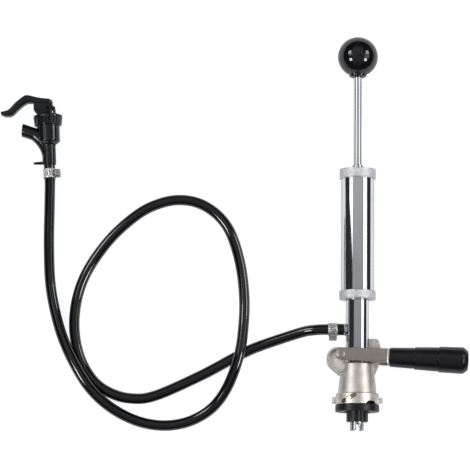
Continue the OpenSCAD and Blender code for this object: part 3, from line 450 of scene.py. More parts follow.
# Joins patches into one object at the origin, closes seams and poles, and hands it to its body
def makePiece(name, patches, body, material, nodes, sharp=35.0):
    points, faces, start = [], [], 0
    for part in patches:
        rows, columns = part["grid"].shape[:2]
        points.append(part["grid"].reshape(-1, 3))
        faces += (gridQuads(rows, columns, part["rows"]) + start).tolist()
        if part["lids"]:
            ring = np.arange(columns) + start
            faces += [ring[::-1].tolist(), (ring + (rows - 1) * columns).tolist()]
        start += rows * columns
    mesh = bpy.data.meshes.new(name)
    mesh.from_pydata((np.vstack(points) * mm).tolist(), [], faces)
    work = bmesh.new()
    work.from_mesh(mesh)
    bmesh.ops.remove_doubles(work, verts=work.verts, dist=weld["near"])
    bmesh.ops.dissolve_degenerate(work, edges=work.edges, dist=weld["sliver"])
    bmesh.ops.holes_fill(work, edges=work.edges, sides=weld["gapSides"])
    bmesh.ops.recalc_face_normals(work, faces=work.faces)
    work.to_mesh(mesh)
    work.free()
    mesh.shade_smooth()
    mesh.set_sharp_from_angle(angle=math.radians(sharp))
    mesh.materials.append(material)
    piece = bpy.data.objects.new(name, mesh)
    scene.collection.objects.link(piece)
    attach(piece, body)
    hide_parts(*nodes)
    return piece


# Corners as (across, along, fillet): a fillet is an arc between tangent points, with a near point past each
def rounded(corners, closed=True, steps=6):
    table = np.array(corners, float)
    ends = table[:, :2]
    out = []
    for i, corner in enumerate(ends):
        fillet = table[i, 2]
        if fillet == 0 or (not closed and i in (0, len(ends) - 1)):
            out.append(corner[None])
            continue
        back, ahead = ends[i - 1] - corner, ends[(i + 1) % len(ends)] - corner
        sides = np.array([np.linalg.norm(back), np.linalg.norm(ahead)])
        back, ahead = back / sides[0], ahead / sides[1]
        half = math.acos(np.clip(back @ ahead, -1, 1)) / 2
        reach = min(fillet / math.tan(half), *(fillets["side"] * sides))
        radius = reach * math.tan(half)
        centre = corner + unit(back + ahead) * radius / math.sin(half)
        first, last = corner + back * reach - centre, corner + ahead * reach - centre
        start = math.atan2(first[1], first[0])
        swing = (math.atan2(last[1], last[0]) - start + math.pi) % (2 * math.pi) - math.pi
        angles = start + swing * np.linspace(0, 1, steps + 1)
        arc = centre + radius * np.stack([np.cos(angles), np.sin(angles)], -1)
        leads = np.minimum(fillets["lead"], fillets["leadShare"] * sides)
        out += [arc[:1] + back * leads[0], arc, arc[-1:] + ahead * leads[1]]
    return np.vstack(out)


# A section from a piece's own sizes: a corner names how far across and along it lies, and gives its fillet
def section(look, corners, closed=True):
    return rounded([(look[across], look[along], fillet) for across, along, fillet in corners], closed)


# Each arrow divided by its own length
def unit(arrows):
    return arrows / np.linalg.norm(arrows, axis=-1, keepdims=True)


# The way run along a line of points: the sum of its steps so far
def runAlong(line):
    return np.concatenate([[0], np.cumsum(np.linalg.norm(np.diff(line, axis=0), axis=1))])


# Angles all round, in equal steps
def fullTurn(steps):
    return np.linspace(0, 2 * np.pi, steps, endpoint=False)


# Points about Y at a radius, a height and an angle: x = r sin a, z = r cos a
def aboutY(radius, height, angle):
    return np.stack([radius * np.sin(angle), height + 0 * angle, radius * np.cos(angle)], -1)


# A profile of radius and height turned about Y
def turned(profile, steps=96):
    return aboutY(profile[:, :1], profile[:, 1:2], fullTurn(steps))


# A turned piece: its section carried round the pump's axis; a ring's is closed, a rod's ends on the axis
def makeTurned(name, look, body, material, node):
    profile = section(look, look["corners"], look["ring"])
    grid = turned(profile, look["steps"])
    makePiece(name, [patch(grid, wrapRows=look["ring"])], body, material, [node])


# Where an angle lies among repeats round a ring: zero at the middle of one, a half on the way to the next
def beatAround(angle, repeats, first=0.0):
    return ((angle - first) / (2 * np.pi) * repeats + 0.5) % 1.0 - 0.5


# A smooth curve through every point: each piece is a cubic whose slopes come from its neighbours
def smoothPath(points, steps):
    line = np.vstack([2 * points[:1] - points[1:2], points, 2 * points[-1:] - points[-2:-1]])
    t = (np.arange(steps) / steps)[None, :, None]
    before, start, end, after = (line[i:len(line) - 3 + i, None] for i in range(4))
    square = 2 * before - 5 * start + 4 * end - after
    cube = 3 * start - before - 3 * end + after
    curve = (2 * start + (end - before) * t + square * t ** 2 + cube * t ** 3) / 2
    return np.vstack([curve.reshape(-1, points.shape[1]), points[-1:]])


# A round tube: at each point of the path a circle of that point's radius, square to the path
def tube(path, radius, sides=28):
    ahead = unit(np.gradient(path, axis=0))
    aside = unit(np.cross(ahead, [0.0, 0.0, 1.0]))
    above = np.cross(aside, ahead)
    angle = fullTurn(sides)[None, :, None]
    spread = np.cos(angle) * aside[:, None] + np.sin(angle) * above[:, None]
    return path[:, None] + np.broadcast_to(radius, len(path))[:, None, None] * spread


# A sine or cosine raised to a power with its sign kept; a low power flattens it towards its ends
def softened(wave, power):
    return np.sign(wave) * np.abs(wave) ** power


# A block with soft edges: a sphere's two angles, with sines and cosines raised to a low power
def softBlock(centre, size, power, steps=48):
    angle = fullTurn(2 * steps)[None]
    rise = np.linspace(-np.pi / 2, np.pi / 2, steps + 1)[:, None]
    level = softened(np.cos(rise), power)
    across = level * softened(np.cos(angle), power)
    along = level * softened(np.sin(angle), power)
    up = softened(np.sin(rise), power) + 0 * angle
    return np.array(centre) + np.stack([across, along, up], -1) * np.array(size) / 2


# A closed outline evened out: points at equal steps, then each drawn towards its neighbours
def evenOutline(corners, passes, step=0.4):
    ring = np.vstack([corners, corners[:1]])
    run = runAlong(ring)
    count = int(run[-1] / step)
    at = np.arange(count) * run[-1] / count
    ring = np.stack([np.interp(at, run, ring[:, k]) for k in range(2)], -1)
    for _ in range(passes):
        ring = (np.roll(ring, 1, 0) + 2 * ring + np.roll(ring, -1, 0)) / 4
    return ring


# A plate with soft edges: the outline is drawn in along its normals by a quarter round near each face
def softPlate(outline, low, high, edge, steps=6):
    along = unit(np.roll(outline, -1, 0) - np.roll(outline, 1, 0))
    area = np.sum(outline[:, 0] * np.roll(outline[:, 1], -1) - np.roll(outline[:, 0], -1) * outline[:, 1])
    inward = np.stack([-along[:, 1], along[:, 0]], -1) * np.sign(area)
    quarter = np.linspace(0, np.pi / 2, steps + 1)
    inset = np.concatenate([edge * (1 - np.sin(quarter)), edge * (1 - np.cos(quarter))])
    level = np.concatenate([low + edge * (1 - np.cos(quarter)), high - edge * (1 - np.sin(quarter))])
    flat = outline[None] + inset[:, None, None] * inward[None]
    return np.concatenate([flat, np.broadcast_to(level[:, None, None], flat.shape[:2] + (1,))], -1)


# Turns points about Z and moves them, as the lever and the faucet are placed
def placed(grid, degrees, to):
    turn = math.radians(degrees)
    x = grid[..., 0] * math.cos(turn) - grid[..., 1] * math.sin(turn)
    y = grid[..., 0] * math.sin(turn) + grid[..., 1] * math.cos(turn)
    return np.stack([x, y, grid[..., 2]], -1) + np.array(to)


# Hose

hoseLine = {
    "route": [
        (-13.7, 85.2, 0), (-30, 85.2, 0), (-44, 84.9, -2.6), (-60, 82.3, -7.8), (-101, 69.3, -16.2),
        (-122, 60, -16.9), (-162, 38.4, -16.9), (-209, 17.3, -16.9), (-234, 14.3, -16.9), (-256, 20, -16.9),
        (-274, 33, -16.9), (-288, 56.5, -16.9), (-294.3, 86, -16.9), (-292, 118, -16.9),
        (-281, 148.5, -16.9), (-258, 181.5, -16.9), (-230, 207, -16.9), (-207, 218.8, -16.9),
        (-185, 222.6, -16.9), (-163.5, 218.3, -16.9), (-144, 204.8, -16.9), (-131, 185, -16.8),
        (-121.5, 153, -16), (-117.4, 119, -13.2), (-118, 88, -8), (-122, 59, -5.3), (-133, 28, -8.4),
        (-148.5, 6, -13.8), (-170.5, -8, -16.7), (-196, -13.6, -16.9), (-223, -10.5, -16.3),
        (-249, 0.7, -12.4), (-271.5, 18.5, -8.5), (-289, 42.5, -7.3), (-307, 80, -11), (-319, 126, -16),
        (-322.2, 170, -15.8), (-321.8, 214, -10.3), (-321.58, 240.5, -7.65), (-322.4, 257.65, -7.6)],
    "steps": 8,
    "radius": 5.55,
    "swell": 0.45,  # how much the barbs stretch each end
    "barb": 16.0,
    "fade": 1.3,
    "lip": (0.70, 0.93),  # two smaller rings soften each cut end
}


# Hose: a tube whose radius swells over the barbs and falls off smoothly past them
def makeHose(look):
    path = smoothPath(np.array(look["route"], float), look["steps"])
    run = runAlong(path)
    ends = np.minimum(run, run[-1] - run)
    stretch = 1 / (1 + np.exp((ends - look["barb"]) / look["fade"]))
    wall = tube(path, look["radius"] + look["swell"] * stretch)
    centre = wall.mean(1, keepdims=True)
    lip = np.array(look["lip"])[:, None, None]
    front = centre[:1] + (wall[:1] - centre[:1]) * lip
    back = centre[-1:] + (wall[-1:] - centre[-1:]) * lip[::-1]
    skin = patch(np.vstack([front, wall, back]), lids=True)
    piece = makePiece("hoseTube", [skin], "column", vinyl, ["hose"], sharp=50.0)
    length = run[-1] * mm
    print("hose: length %.3f m" % length)
    return piece, path * mm, length


hose, hoseCentre, hoseLength = makeHose(hoseLine)

# Hose clamps

clampBand = {
    "width": 9.6, "inside": 6.12, "thick": 0.6,
    "rows": (0, 0.02, 0.06, 0.12, 0.18, 0.21, 0.24, 0.34, 0.45),  # half of the shares of the width
    "edge": 0.12, "edgeShare": 0.03,
    "slots": 17, "slotSteps": 10, "slotDepth": 0.4, "slant": 0.5,
    "slotHalf": 0.18, "slotFade": 0.06, "slotReach": 0.30, "reachFade": 0.03,  # shares of a slot's room
    "saddle": (8.2, 5.4, 9.4), "worm": -8.55, "saddlePower": 0.30, "saddleFade": 0.3,
    "foot": (7.872, 1.3, 11.8), "footDrop": 0.75, "footPower": 0.25,
    "slotDark": (0.1, 0.2),  # how far under the band's face a slot begins to show dark, and over what depth
    "pump": {"turn": 0.0, "at": (-30.0, 85.2, 0.0)},
    "faucet": {"turn": 92.8, "at": (-321.733, 244.016, -7.6)},
}


# Slotted band about X: the radius dips in slanted slots round the middle of its width
def bandGrid(look):
    half = np.array(look["rows"])
    share = np.concatenate([half, 1 - half[::-1]])
    wide, angle = np.meshgrid(share, fullTurn(look["slots"] * look["slotSteps"]), indexing="ij")
    phase = (angle / (2 * np.pi) * look["slots"] + (wide - 0.5) * look["slant"]) % 1.0
    slot = np.clip((look["slotHalf"] - np.abs(phase - 0.5)) / look["slotFade"], 0, 1)
    slot = slot * np.clip((look["slotReach"] - np.abs(wide - 0.5)) / look["reachFade"], 0, 1)
    rim = np.clip(1 - np.minimum(wide, 1 - wide) / look["edgeShare"], 0, 1)
    radius = look["inside"] + look["thick"] - look["slotDepth"] * slot - look["edge"] * rim
    outer = np.stack([wide * look["width"], radius * np.cos(angle), radius * np.sin(angle)], -1)
    inner = outer[::-1].copy()
    inner[..., 1] = look["inside"] * np.cos(angle)
    inner[..., 2] = look["inside"] * np.sin(angle)
    return np.vstack([outer, inner])


# Clamp: the band, and under it a saddle for the screw on a foot, two soft blocks
def makeClamp(name, look, node, spot):
    middle = look["width"] / 2
    saddle = softBlock((middle, look["worm"], 0), look["saddle"], look["saddlePower"])
    foot = softBlock((middle, -look["inside"] - look["footDrop"], 0), look["foot"], look["footPower"])
    patches = [patch(bandGrid(look), wrapRows=True), patch(saddle), patch(foot)]
    for part in patches:
        part["grid"] = placed(part["grid"], spot["turn"], spot["at"])
    piece = makePiece(name, patches, "column", band, [node])
    # How far each point lies past the band's face tells whether it is in a slot or on the saddle
    points = np.empty(3 * len(piece.data.vertices))
    piece.data.vertices.foreach_get("co", points)
    points = placed(points.reshape(-1, 3) / mm - np.array(spot["at"]), -spot["turn"], (0, 0, 0))
    past = np.hypot(points[:, 1], points[:, 2]) - look["inside"] - look["thick"]
    under, over = look["slotDark"]
    marks = {"slotDepth": (-past - under) / over, "saddleShare": past / look["saddleFade"]}
    for mark, values in marks.items():
        piece.data.attributes.new(mark, "FLOAT", "POINT").data.foreach_set("value", np.clip(values, 0, 1))
    return piece


pumpClamp = makeClamp("pumpClampBand", clampBand, "pump_clamp", clampBand["pump"])
faucetClamp = makeClamp("faucetClampBand", clampBand, "faucet_clamp", clampBand["faucet"])
print("hose: laid, with its clamps")

# Pump

pumpBarrel = {
    "outer": 17.4, "inner": 16.0, "low": 120.997, "high": 247.4, "ring": True, "steps": 160,
    "corners": [
        ("inner", "low", 0.1), ("outer", "low", 0.25), ("outer", "high", 0.25), ("inner", "high", 0.1)],
}
pumpRod = {
    "axis": 0.0, "radius": 4.5, "thread": 3.5, "low": 229.9, "shoulder": 246.4, "high": 350.2, "end": 365.9,
    "ring": False, "steps": 96,
    "corners": [
        ("axis", "low", 0), ("thread", "low", 0.6), ("thread", "shoulder", 0.1), ("radius", "shoulder", 0.3),
        ("radius", "high", 0.2), ("thread", "high", 0.1), ("thread", "end", 0.4), ("axis", "end", 0)],
}
guideBush = {
    "inner": 4.55, "shank": 5.5, "head": 6.1, "low": 247.4, "seat": 252.6, "top": 257.1,
    "ring": True, "steps": 96,
    "corners": [
        ("inner", "low", 0.1), ("shank", "low", 0.1), ("shank", "seat", 0.05),
        ("head", "seat", 0.3), ("head", "top", 0.8), ("inner", "top", 0.2)],
}
knurl = {"around": 88, "toothSteps": 6, "rows": 6.0, "wallRows": 41, "wall": 0.05,
         "depth": 0.32, "plain": 1.1, "fade": 14,
         "corners": [
             ("lowBore", "low", 0.2), ("radius", "low", 0.6), ("radius", "high", 0.6),
             ("highBore", "high", 0.2), ("highBore", "step", 0), ("lowBore", "step", 0)]}
topCap = {"radius": 18.9, "low": 242.2, "high": 252.6, "lowBore": 17.45, "step": 247.4, "highBore": 5.5}
lowerCollar = {"radius": 18.9, "low": 116.2, "high": 125.2, "lowBore": 12.15, "step": 117.997,
               "highBore": 17.45}


# A knurled ring's section: bored from each end to a step, with many rows along its outer wall
def ringProfile(look, knurl):
    low, high = look["low"], look["high"]
    profile = section(look, knurl["corners"])
    split = int(np.argmax(profile[:, 1] > (low + high) / 2))
    rows = np.linspace(low + knurl["plain"], high - knurl["plain"], knurl["wallRows"])
    wall = np.stack([np.full(len(rows), look["radius"]), rows], -1)
    return np.vstack([profile[:split], wall, profile[split:]])


# Knurled ring: a turned profile whose outer wall drops into two crossing sets of V grooves
def makeKnurl(name, look, knurl, node):
    profile = ringProfile(look, knurl)
    angle = fullTurn(knurl["around"] * knurl["toothSteps"])[None]
    radius, height = profile[:, :1], profile[:, 1:2]
    low, high = look["low"] + knurl["plain"], look["high"] - knurl["plain"]
    rise = (height - low) / (high - low)
    climb = rise * knurl["rows"]
    turn = angle / (2 * np.pi) * knurl["around"]
    ridges = [2 * np.abs((way + 0.5) % 1.0 - 0.5) for way in (turn + climb, turn - climb)]
    fade = np.clip(rise * knurl["fade"], 0, 1) * np.clip((1 - rise) * knurl["fade"], 0, 1)
    fade = fade * (radius > look["radius"] - knurl["wall"])
    radius = radius - knurl["depth"] * (1 - np.minimum(*ridges)) * fade
    grid = aboutY(radius, height, angle)
    makePiece(name, [patch(grid, wrapRows=True)], "column", silver, [node], sharp=60.0)


ballKnob = {
    "axis": 0.0, "hole": pumpRod["thread"], "radius": 20.9, "centre": 371.9, "low": 350.2, "plug": 351.2,
    "bead": 9.2, "beadTop": 8.9, "beadHigh": 354.4, "neck": 7.6, "neckHigh": 352.8, "rows": 72, "steps": 128,
    "corners": [
        ("axis", "plug", 0), ("hole", "plug", 0), ("hole", "low", 0), ("bead", "low", 2.0),
        ("beadTop", "beadHigh", 0.9), ("neck", "neckHigh", 0)],
}


# Ball knob: a round-edged bead under a sphere, r = R cos t and y = c + R sin t from the neck to the pole
def makeBall(look):
    foot = section(look, look["corners"], closed=False)
    t = np.linspace(-math.acos(look["neck"] / look["radius"]), np.pi / 2, look["rows"])
    globe = np.stack([look["radius"] * np.cos(t), look["centre"] + look["radius"] * np.sin(t)], -1)
    grid = turned(np.vstack([foot[:-1], globe]), look["steps"])
    makePiece("ballKnob", [patch(grid)], "plunger", black, ["ball_knob"], sharp=45.0)


makeTurned("pumpBarrel", pumpBarrel, "column", chrome, "barrel")
makeTurned("pumpRod", pumpRod, "plunger", chrome, "pump_rod")
makeTurned("rodBush", guideBush, "column", chrome, "rod_bush")
makeKnurl("topCapKnurl", topCap, knurl, "top_cap")
makeKnurl("lowerCollarKnurl", lowerCollar, knurl, "lower_collar")
makeBall(ballKnob)
print("pump: barrel, rod, collars and knob made")

# Coupler's rubber

bottomSeal = {
    "radius": 22.7, "low": 0.0, "high": 7.0, "bore": 14.0, "spigot": 19.0, "top": 11.0,
    "ring": True, "steps": 128,
    "corners": [
        ("bore", "low", 0.5), ("radius", "low", 1.1), ("radius", "high", 0.6),
        ("spigot", "high", 0), ("spigot", "top", 0.3), ("bore", "top", 0.8)],
}
probeSleeve = {
    "radius": 11.2, "bore": 7.26, "low": -10.3, "high": 7.4, "steps": 240,
    "corners": [("bore", "low", 0.2), ("radius", "low", 0.9), ("radius", "high", 0.6), ("bore", "high", 0.1)],
    "flutes": 6, "depth": 0.55, "first": 15.0, "fluteHalf": 0.16, "skin": 1.0,
}


# Sleeve: a turned section with flutes, whose depth falls with the square of the way from their middle
def makeSleeve(look):
    wall = section(look, look["corners"])
    angle = fullTurn(look["steps"])
    beat = beatAround(angle, look["flutes"], math.radians(look["first"]))
    bite = look["depth"] * np.clip(1 - (beat / look["fluteHalf"]) ** 2, 0, 1)
    radius = wall[:, :1] - bite * (wall[:, :1] > look["radius"] - look["skin"])
    grid = aboutY(radius, wall[:, 1:2], angle)
    makePiece("probeSleeve", [patch(grid, wrapRows=True)], "column", rubber, ["probe_sleeve"])


makeTurned("bottomSeal", bottomSeal, "coupler", rubber, "bottom_seal")
makeSleeve(probeSleeve)
print("coupler: seal and sleeve made")

# Lever

leverPlace = {"droop": -2.4, "hinge": (-17.0, 58.9, 0.0)}
strapLoop = {"inside": 13.2, "thick": 2.5, "reach": 50.3, "corner": 3.4, "endRadius": 6.2, "farHalf": 7.6,
             "edge": 0.55, "tip": 1e-3, "legRows": 60, "bendRows": 12, "edgeRows": 6}


# Moves points from the lever's own axes, with its hinge at zero, to their place
def onLever(grid):
    return placed(grid, leverPlace["droop"], leverPlace["hinge"])


# Bent strap: a rounded oblong carried round a hairpin, growing taller from the round ends to the closed one
def makeStrap(look):
    middle, end, rows = look["inside"] + look["thick"] / 2, look["endRadius"], look["edgeRows"]
    reach, corner = look["reach"] - look["thick"] / 2, look["corner"] - look["thick"] / 2
    bend = np.linspace(-np.pi / 2, 0, look["bendRows"])
    # Rows lie close together at the round end
    spread = 1 - np.cos(np.linspace(0, np.pi / 2, look["legRows"]))
    leg = -end + (reach - corner + end) * spread
    side = np.stack([leg, np.full(len(leg), -middle)], -1)
    turn = np.stack([reach - corner + corner * np.cos(bend), corner - middle + corner * np.sin(bend)], -1)
    half = np.vstack([side, turn[1:]])
    path = np.vstack([half, half[::-1] * [1, -1]])
    along = unit(np.gradient(path, axis=0))
    out = np.stack([along[:, 1], -along[:, 0]], -1)
    x = np.clip(path[:, 0], -end + look["tip"], None)
    endHalf = np.sqrt(np.clip(end ** 2 - np.clip(x, None, 0) ** 2, 0, None))
    legHalf = end + (look["farHalf"] - end) * np.clip(x, 0, None) / look["reach"]
    tall = np.where(x < 0, endHalf, legHalf)[:, None]
    edge = np.minimum(look["edge"], tall * fillets["side"])
    bow = np.concatenate([np.linspace(0, np.pi / 2, rows) + k * np.pi / 2 for k in range(4)])
    across = np.repeat([1, -1, -1, 1], rows) * (look["thick"] / 2 - edge) + edge * np.cos(bow)
    height = np.repeat([1, 1, -1, -1], rows) * (tall - edge) + edge * np.sin(bow)
    plan = path[:, None] + across[..., None] * out[:, None]
    strap = patch(onLever(np.stack([plan[..., 0], height, plan[..., 1]], -1)), lids=True)
    makePiece("leverStrap", [strap], "lever", strapSteel, ["lever_strap"], sharp=40.0)


gripBody = {
    "start": 50.3, "barrels": 3, "third": 25.1, "small": 9.9, "step": 1.72, "taper": 1.0, "lastTaper": 0.5,
    "groove": 0.85, "grooveHalf": 0.25, "grooveEdge": 0.2, "frontEdge": 1.2, "backEdge": 0.9,
    "hole": 3.05, "holeEnd": 111.825, "end": 131.8, "big": 13.9, "arcSteps": 8, "steps": 112,
    "dome": [(1.0, 4.6, 2.0), (4.0, 0.9, 3.0)],  # in from the side, back from the end, fillet
}


# Grip: tapered barrels with narrow grooves between them and a domed end, turned about the lever's own line
def makeGrip(look):
    gap, last = look["grooveHalf"], look["barrels"] - 1
    corners = [(0, look["holeEnd"], 0), (look["hole"], look["holeEnd"], 0), (look["hole"], look["start"], 0)]
    for i in range(look["barrels"]):
        near, far = look["start"] + i * look["third"], look["start"] + (i + 1) * look["third"]
        small = look["small"] + i * look["step"]
        wide = small + look["taper"] * (1.0 if i < last else look["lastTaper"])
        corners += [(small, near + (gap if i else 0), look["frontEdge"]), (wide, far - gap, look["backEdge"])]
        if i < last:
            floor = wide - look["groove"]
            corners += [(floor, far - gap, look["grooveEdge"]), (floor, far + gap, look["grooveEdge"])]
    corners += [(look["big"] - inward, look["end"] - back, fillet) for inward, back, fillet in look["dome"]]
    profile = rounded(corners + [(0, look["end"], 0)], closed=False, steps=look["arcSteps"])
    grid = onLever(turned(profile, look["steps"])[..., [1, 0, 2]])
    makePiece("leverGrip", [patch(grid)], "lever", gripSkin, ["lever_grip"])


hingePin = {
    "axis": 0.0, "radius": 3.0, "head": 4.4, "headHeight": 1.8, "rim": 1.05, "domeShare": 0.97,
    "domeRows": 24, "steps": 64,
    "corners": [
        ("axis", "low", 0), ("radius", "low", 0.4), ("radius", "seat", 0.05), ("head", "seat", 0.15),
        ("head", "rimTop", 0)],
}


# Hinge pin: a bar with a domed head, whose height falls with the square of the way from its middle
def makeHingePin(look):
    low, high = (corner[2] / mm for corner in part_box("hinge_pin"))
    seat = high - look["headHeight"]
    levels = {"low": low, "seat": seat, "rimTop": seat + look["rim"]}
    shank = section({**look, **levels}, look["corners"], closed=False)
    out = np.linspace(look["domeShare"], 0, look["domeRows"])[:, None] * look["head"]
    dome = np.hstack([out, high - (look["headHeight"] - look["rim"]) * (out / look["head"]) ** 2])
    grid = turned(np.vstack([shank, dome]), look["steps"])[..., [0, 2, 1]]
    grid = placed(grid, 0.0, leverPlace["hinge"])
    makePiece("hingePinHead", [patch(grid)], "coupler", hingeSteel, ["hinge_pin"])


makeStrap(strapLoop)
makeGrip(gripBody)
makeHingePin(hingePin)
print("lever: strap, grip and hinge pin made")

# Faucet

faucetPlace = {"lean": 2.8, "foot": (-322.417, 258.0, -7.6)}
tapBody = {
    "tail": 3.1, "tailEnd": -14.6, "foot": 0.0, "bore": 2.1, "shank": 7.2, "shankTop": 21.0, "barrel": 11.9,
    "shoulder": 24.5, "top": 41.5, "neck": 10.5, "neckTop": 47.9, "valve": 8.5, "valveFloor": 25.5,
    "corners": [
        ("tail", "tailEnd", 0), ("tail", "foot", 0), ("shank", "foot", 0.7), ("shank", "shankTop", 3.0),
        ("barrel", "shoulder", 2.0), ("barrel", "top", 0.3), ("neck", "top", 0.1), ("neck", "neckTop", 0.2),
        ("valve", "neckTop", 0), ("valve", "valveFloor", 0), ("bore", "valveFloor", 0),
        ("bore", "tailEnd", 0)]}
tapSpout = {
    "base": 27.5, "rise": 21.4, "outer": 6.7, "bore": 4.2, "reach": 29.32, "slant": 13.4, "start": 3.0,
    "sides": 56,
    # Each ring's share of the way to the mouth, and of the way from the outside to the bore
    "share": (0, 0.3, 0.6, 0.9, 0.965, 0.982, 0.994, 1.0, 1.0, 0.994, 0.98, 0.9, 0.7, 0.5),
    "inward": (0, 0, 0, 0, 0, 0.03, 0.12, 0.3, 0.7, 0.9, 1, 1, 1, 1)}
tapFairing = {"from": (-0.2, 5.0), "pull": (-1.0, 22.5), "to": (-15.0, 33.3), "radius": 6.5,
              "rows": 40, "sides": 48}
tapPeg = {"height": 2.2, "start": 5.0, "reach": 16.8, "root": 1.9, "tip": 1.3, "rows": 14, "sides": 24,
          "roundFrom": 0.88, "roundOver": 0.125}


# Moves points from the faucet's own axes, with its foot at zero, to their place
def onFaucet(grid):
    return placed(grid, faucetPlace["lean"], faucetPlace["foot"])


# Spout: a wall and its bore as rings on a slanted line, each point run out to the plane that cuts the mouth
def spoutGrid(look):
    rise, slant = math.radians(look["rise"]), math.tan(math.radians(look["slant"]))
    angle = fullTurn(look["sides"])[None]
    share, inward = (np.array(look[key])[:, None] for key in ("share", "inward"))
    radius = look["outer"] + (look["bore"] - look["outer"]) * inward
    aside, above = radius * np.sin(angle), radius * np.cos(angle)
    run = look["start"] + share * (look["reach"] - look["start"] + above * slant)
    x = -run * math.cos(rise) + above * math.sin(rise)
    y = look["base"] + run * math.sin(rise) + above * math.cos(rise)
    return np.stack([x, y, aside], -1)


# Fairing: a round bar bent from the shank into the spout along a curve drawn by three points
def fairingGrid(look):
    t = np.linspace(0, 1, look["rows"])[:, None]
    first, pull, last = (np.array(look[key]) for key in ("from", "pull", "to"))
    line = first * (1 - t) ** 2 + 2 * pull * t * (1 - t) + last * t ** 2
    return tube(np.concatenate([line, 0 * t], 1), look["radius"], look["sides"])


# Peg: a straight taper whose tip closes as a quarter round
def pegGrid(look):
    t = np.linspace(0, 1, look["rows"])
    path = np.stack([-look["start"] - t * (look["reach"] - look["start"]), look["height"] + 0 * t, 0 * t], -1)
    over = np.clip((t - look["roundFrom"]) / look["roundOver"], 0, 1)
    radius = (look["root"] + (look["tip"] - look["root"]) * t) * np.sqrt(1 - over ** 2)
    return tube(path, radius, look["sides"])


# Body: a turned shell with its valve chamber, and the spout, fairing and peg grown into it
def makeTapBody(body, spout, fairing, peg):
    shell = section(body, body["corners"])
    patches = [
        patch(onFaucet(turned(shell)), wrapRows=True), patch(onFaucet(spoutGrid(spout)), wrapRows=True),
        patch(onFaucet(fairingGrid(fairing)), lids=True), patch(onFaucet(pegGrid(peg)), lids=True)]
    makePiece("tapBody", patches, "column", tapSkin, ["faucet_body"], sharp=50.0)


tapBonnet = {
    "low": 41.5, "rim": 49.9, "high": 52.5, "skirt": 14.2, "radius": 15.1, "inside": tapBody["neck"] + 0.05,
    "boss": 10.4, "bossFoot": 11.2, "bossTop": 54.0, "hole": 2.96, "roof": 48.0,
    "corners": [
        ("inside", "low", 0), ("skirt", "low", 0.7), ("radius", "rim", 1.5), ("radius", "high", 1.3),
        ("bossFoot", "high", 0.5), ("boss", "bossTop", 0.5), ("hole", "bossTop", 0.2), ("hole", "roof", 0),
        ("inside", "roof", 0)],
    "flutes": 14, "fluteSteps": 20, "depth": 1.0, "fluteHalf": 0.24, "fluteLow": 0.9, "fluteFade": 0.8,
    "fluteFrom": 11.9}
tapGuard = {"x": 5.9, "thick": 2.4, "low": 53.0, "high": 62.2, "half": 4.5, "crown": 0.5,
            "shoulder": (0.92, 1.2), "edge": 0.7, "bow": 0.007, "passes": 6}


# Guard: a soft plate with a rounded top, bowed back by the square of its height
def guardGrid(look):
    inward, drop = look["shoulder"]
    right = np.array([(look["half"], look["low"]), (look["half"] * inward, look["high"] - drop),
                      (look["half"] * look["crown"], look["high"])])
    left = right[::-1] * [-1, 1]
    face = evenOutline(np.vstack([left[-1:], right, left[:-1]]), look["passes"])
    plate = softPlate(face, 0.0, look["thick"], look["edge"])
    bow = look["bow"] * (plate[..., 1] - look["low"]) ** 2
    return np.stack([look["x"] + plate[..., 2] - bow, plate[..., 1], plate[..., 0]], -1)


# Bonnet: a turned cap whose wall dips in round flutes between broad ribs, with a boss and a guard on top
def makeTapBonnet(look, guard):
    wall = section(look, look["corners"])
    radius, height = wall[:, :1], wall[:, 1:2]
    angle = fullTurn(look["flutes"] * look["fluteSteps"])
    dip = np.sqrt(np.clip(1 - (beatAround(angle, look["flutes"]) / look["fluteHalf"]) ** 2, 0, 1))
    deep = np.clip((height - look["low"] - look["fluteLow"]) / look["fluteFade"], 0, 1)
    deep = deep * (radius > look["fluteFrom"])
    cap = aboutY(radius - look["depth"] * dip * deep, height, angle)
    patches = [patch(onFaucet(cap), wrapRows=True), patch(onFaucet(guardGrid(guard)), lids=True)]
    makePiece("tapBonnet", patches, "column", tapSkin, ["faucet_bonnet"], sharp=45.0)


thumbLever = {
    "pivot": (0, 60.55, 0), "half": 6.25, "head": 5.5, "fork": 2.1,
    "top": [(4.9, 8.9), (-9, 11.2), (-20, 14.2), (-25, 13.2), (-34, 6.6), (-40.5, 0.2), (-45, -1.6),
            (-49.2, -2.2)],
    "under": [(5.2, 3.6), (-9, 4.2), (-17.2, 5.6), (-22.4, 5.0), (-29.6, -0.2), (-36.8, -6.6), (-43.5, -7.6),
              (-49.2, -5.6)],
    "cheek": [(5.4, 7.6), (-14.2, 6.8), (-14.4, -1.8), (-13.3, -4.4), (-11.2, -5.7), (-8, -6.2), (-1.5, -6.0),
              (3.4, -4.7), (5.4, -1.4)],
    "web": [(-13.6, 6.0), (-13.8, -1.6), (-12.8, -4.1), (-8, -5.9), (-6.8, -5.8), (-6.8, 6.0)],
    "steps": 10, "sides": 56, "power": 0.42, "endRows": 2.0, "endLeast": 0.05, "endWide": 0.35,
    "cheekEdge": 0.6, "webEdge": 0.4, "webOverlap": 0.5, "passes": 8,
}


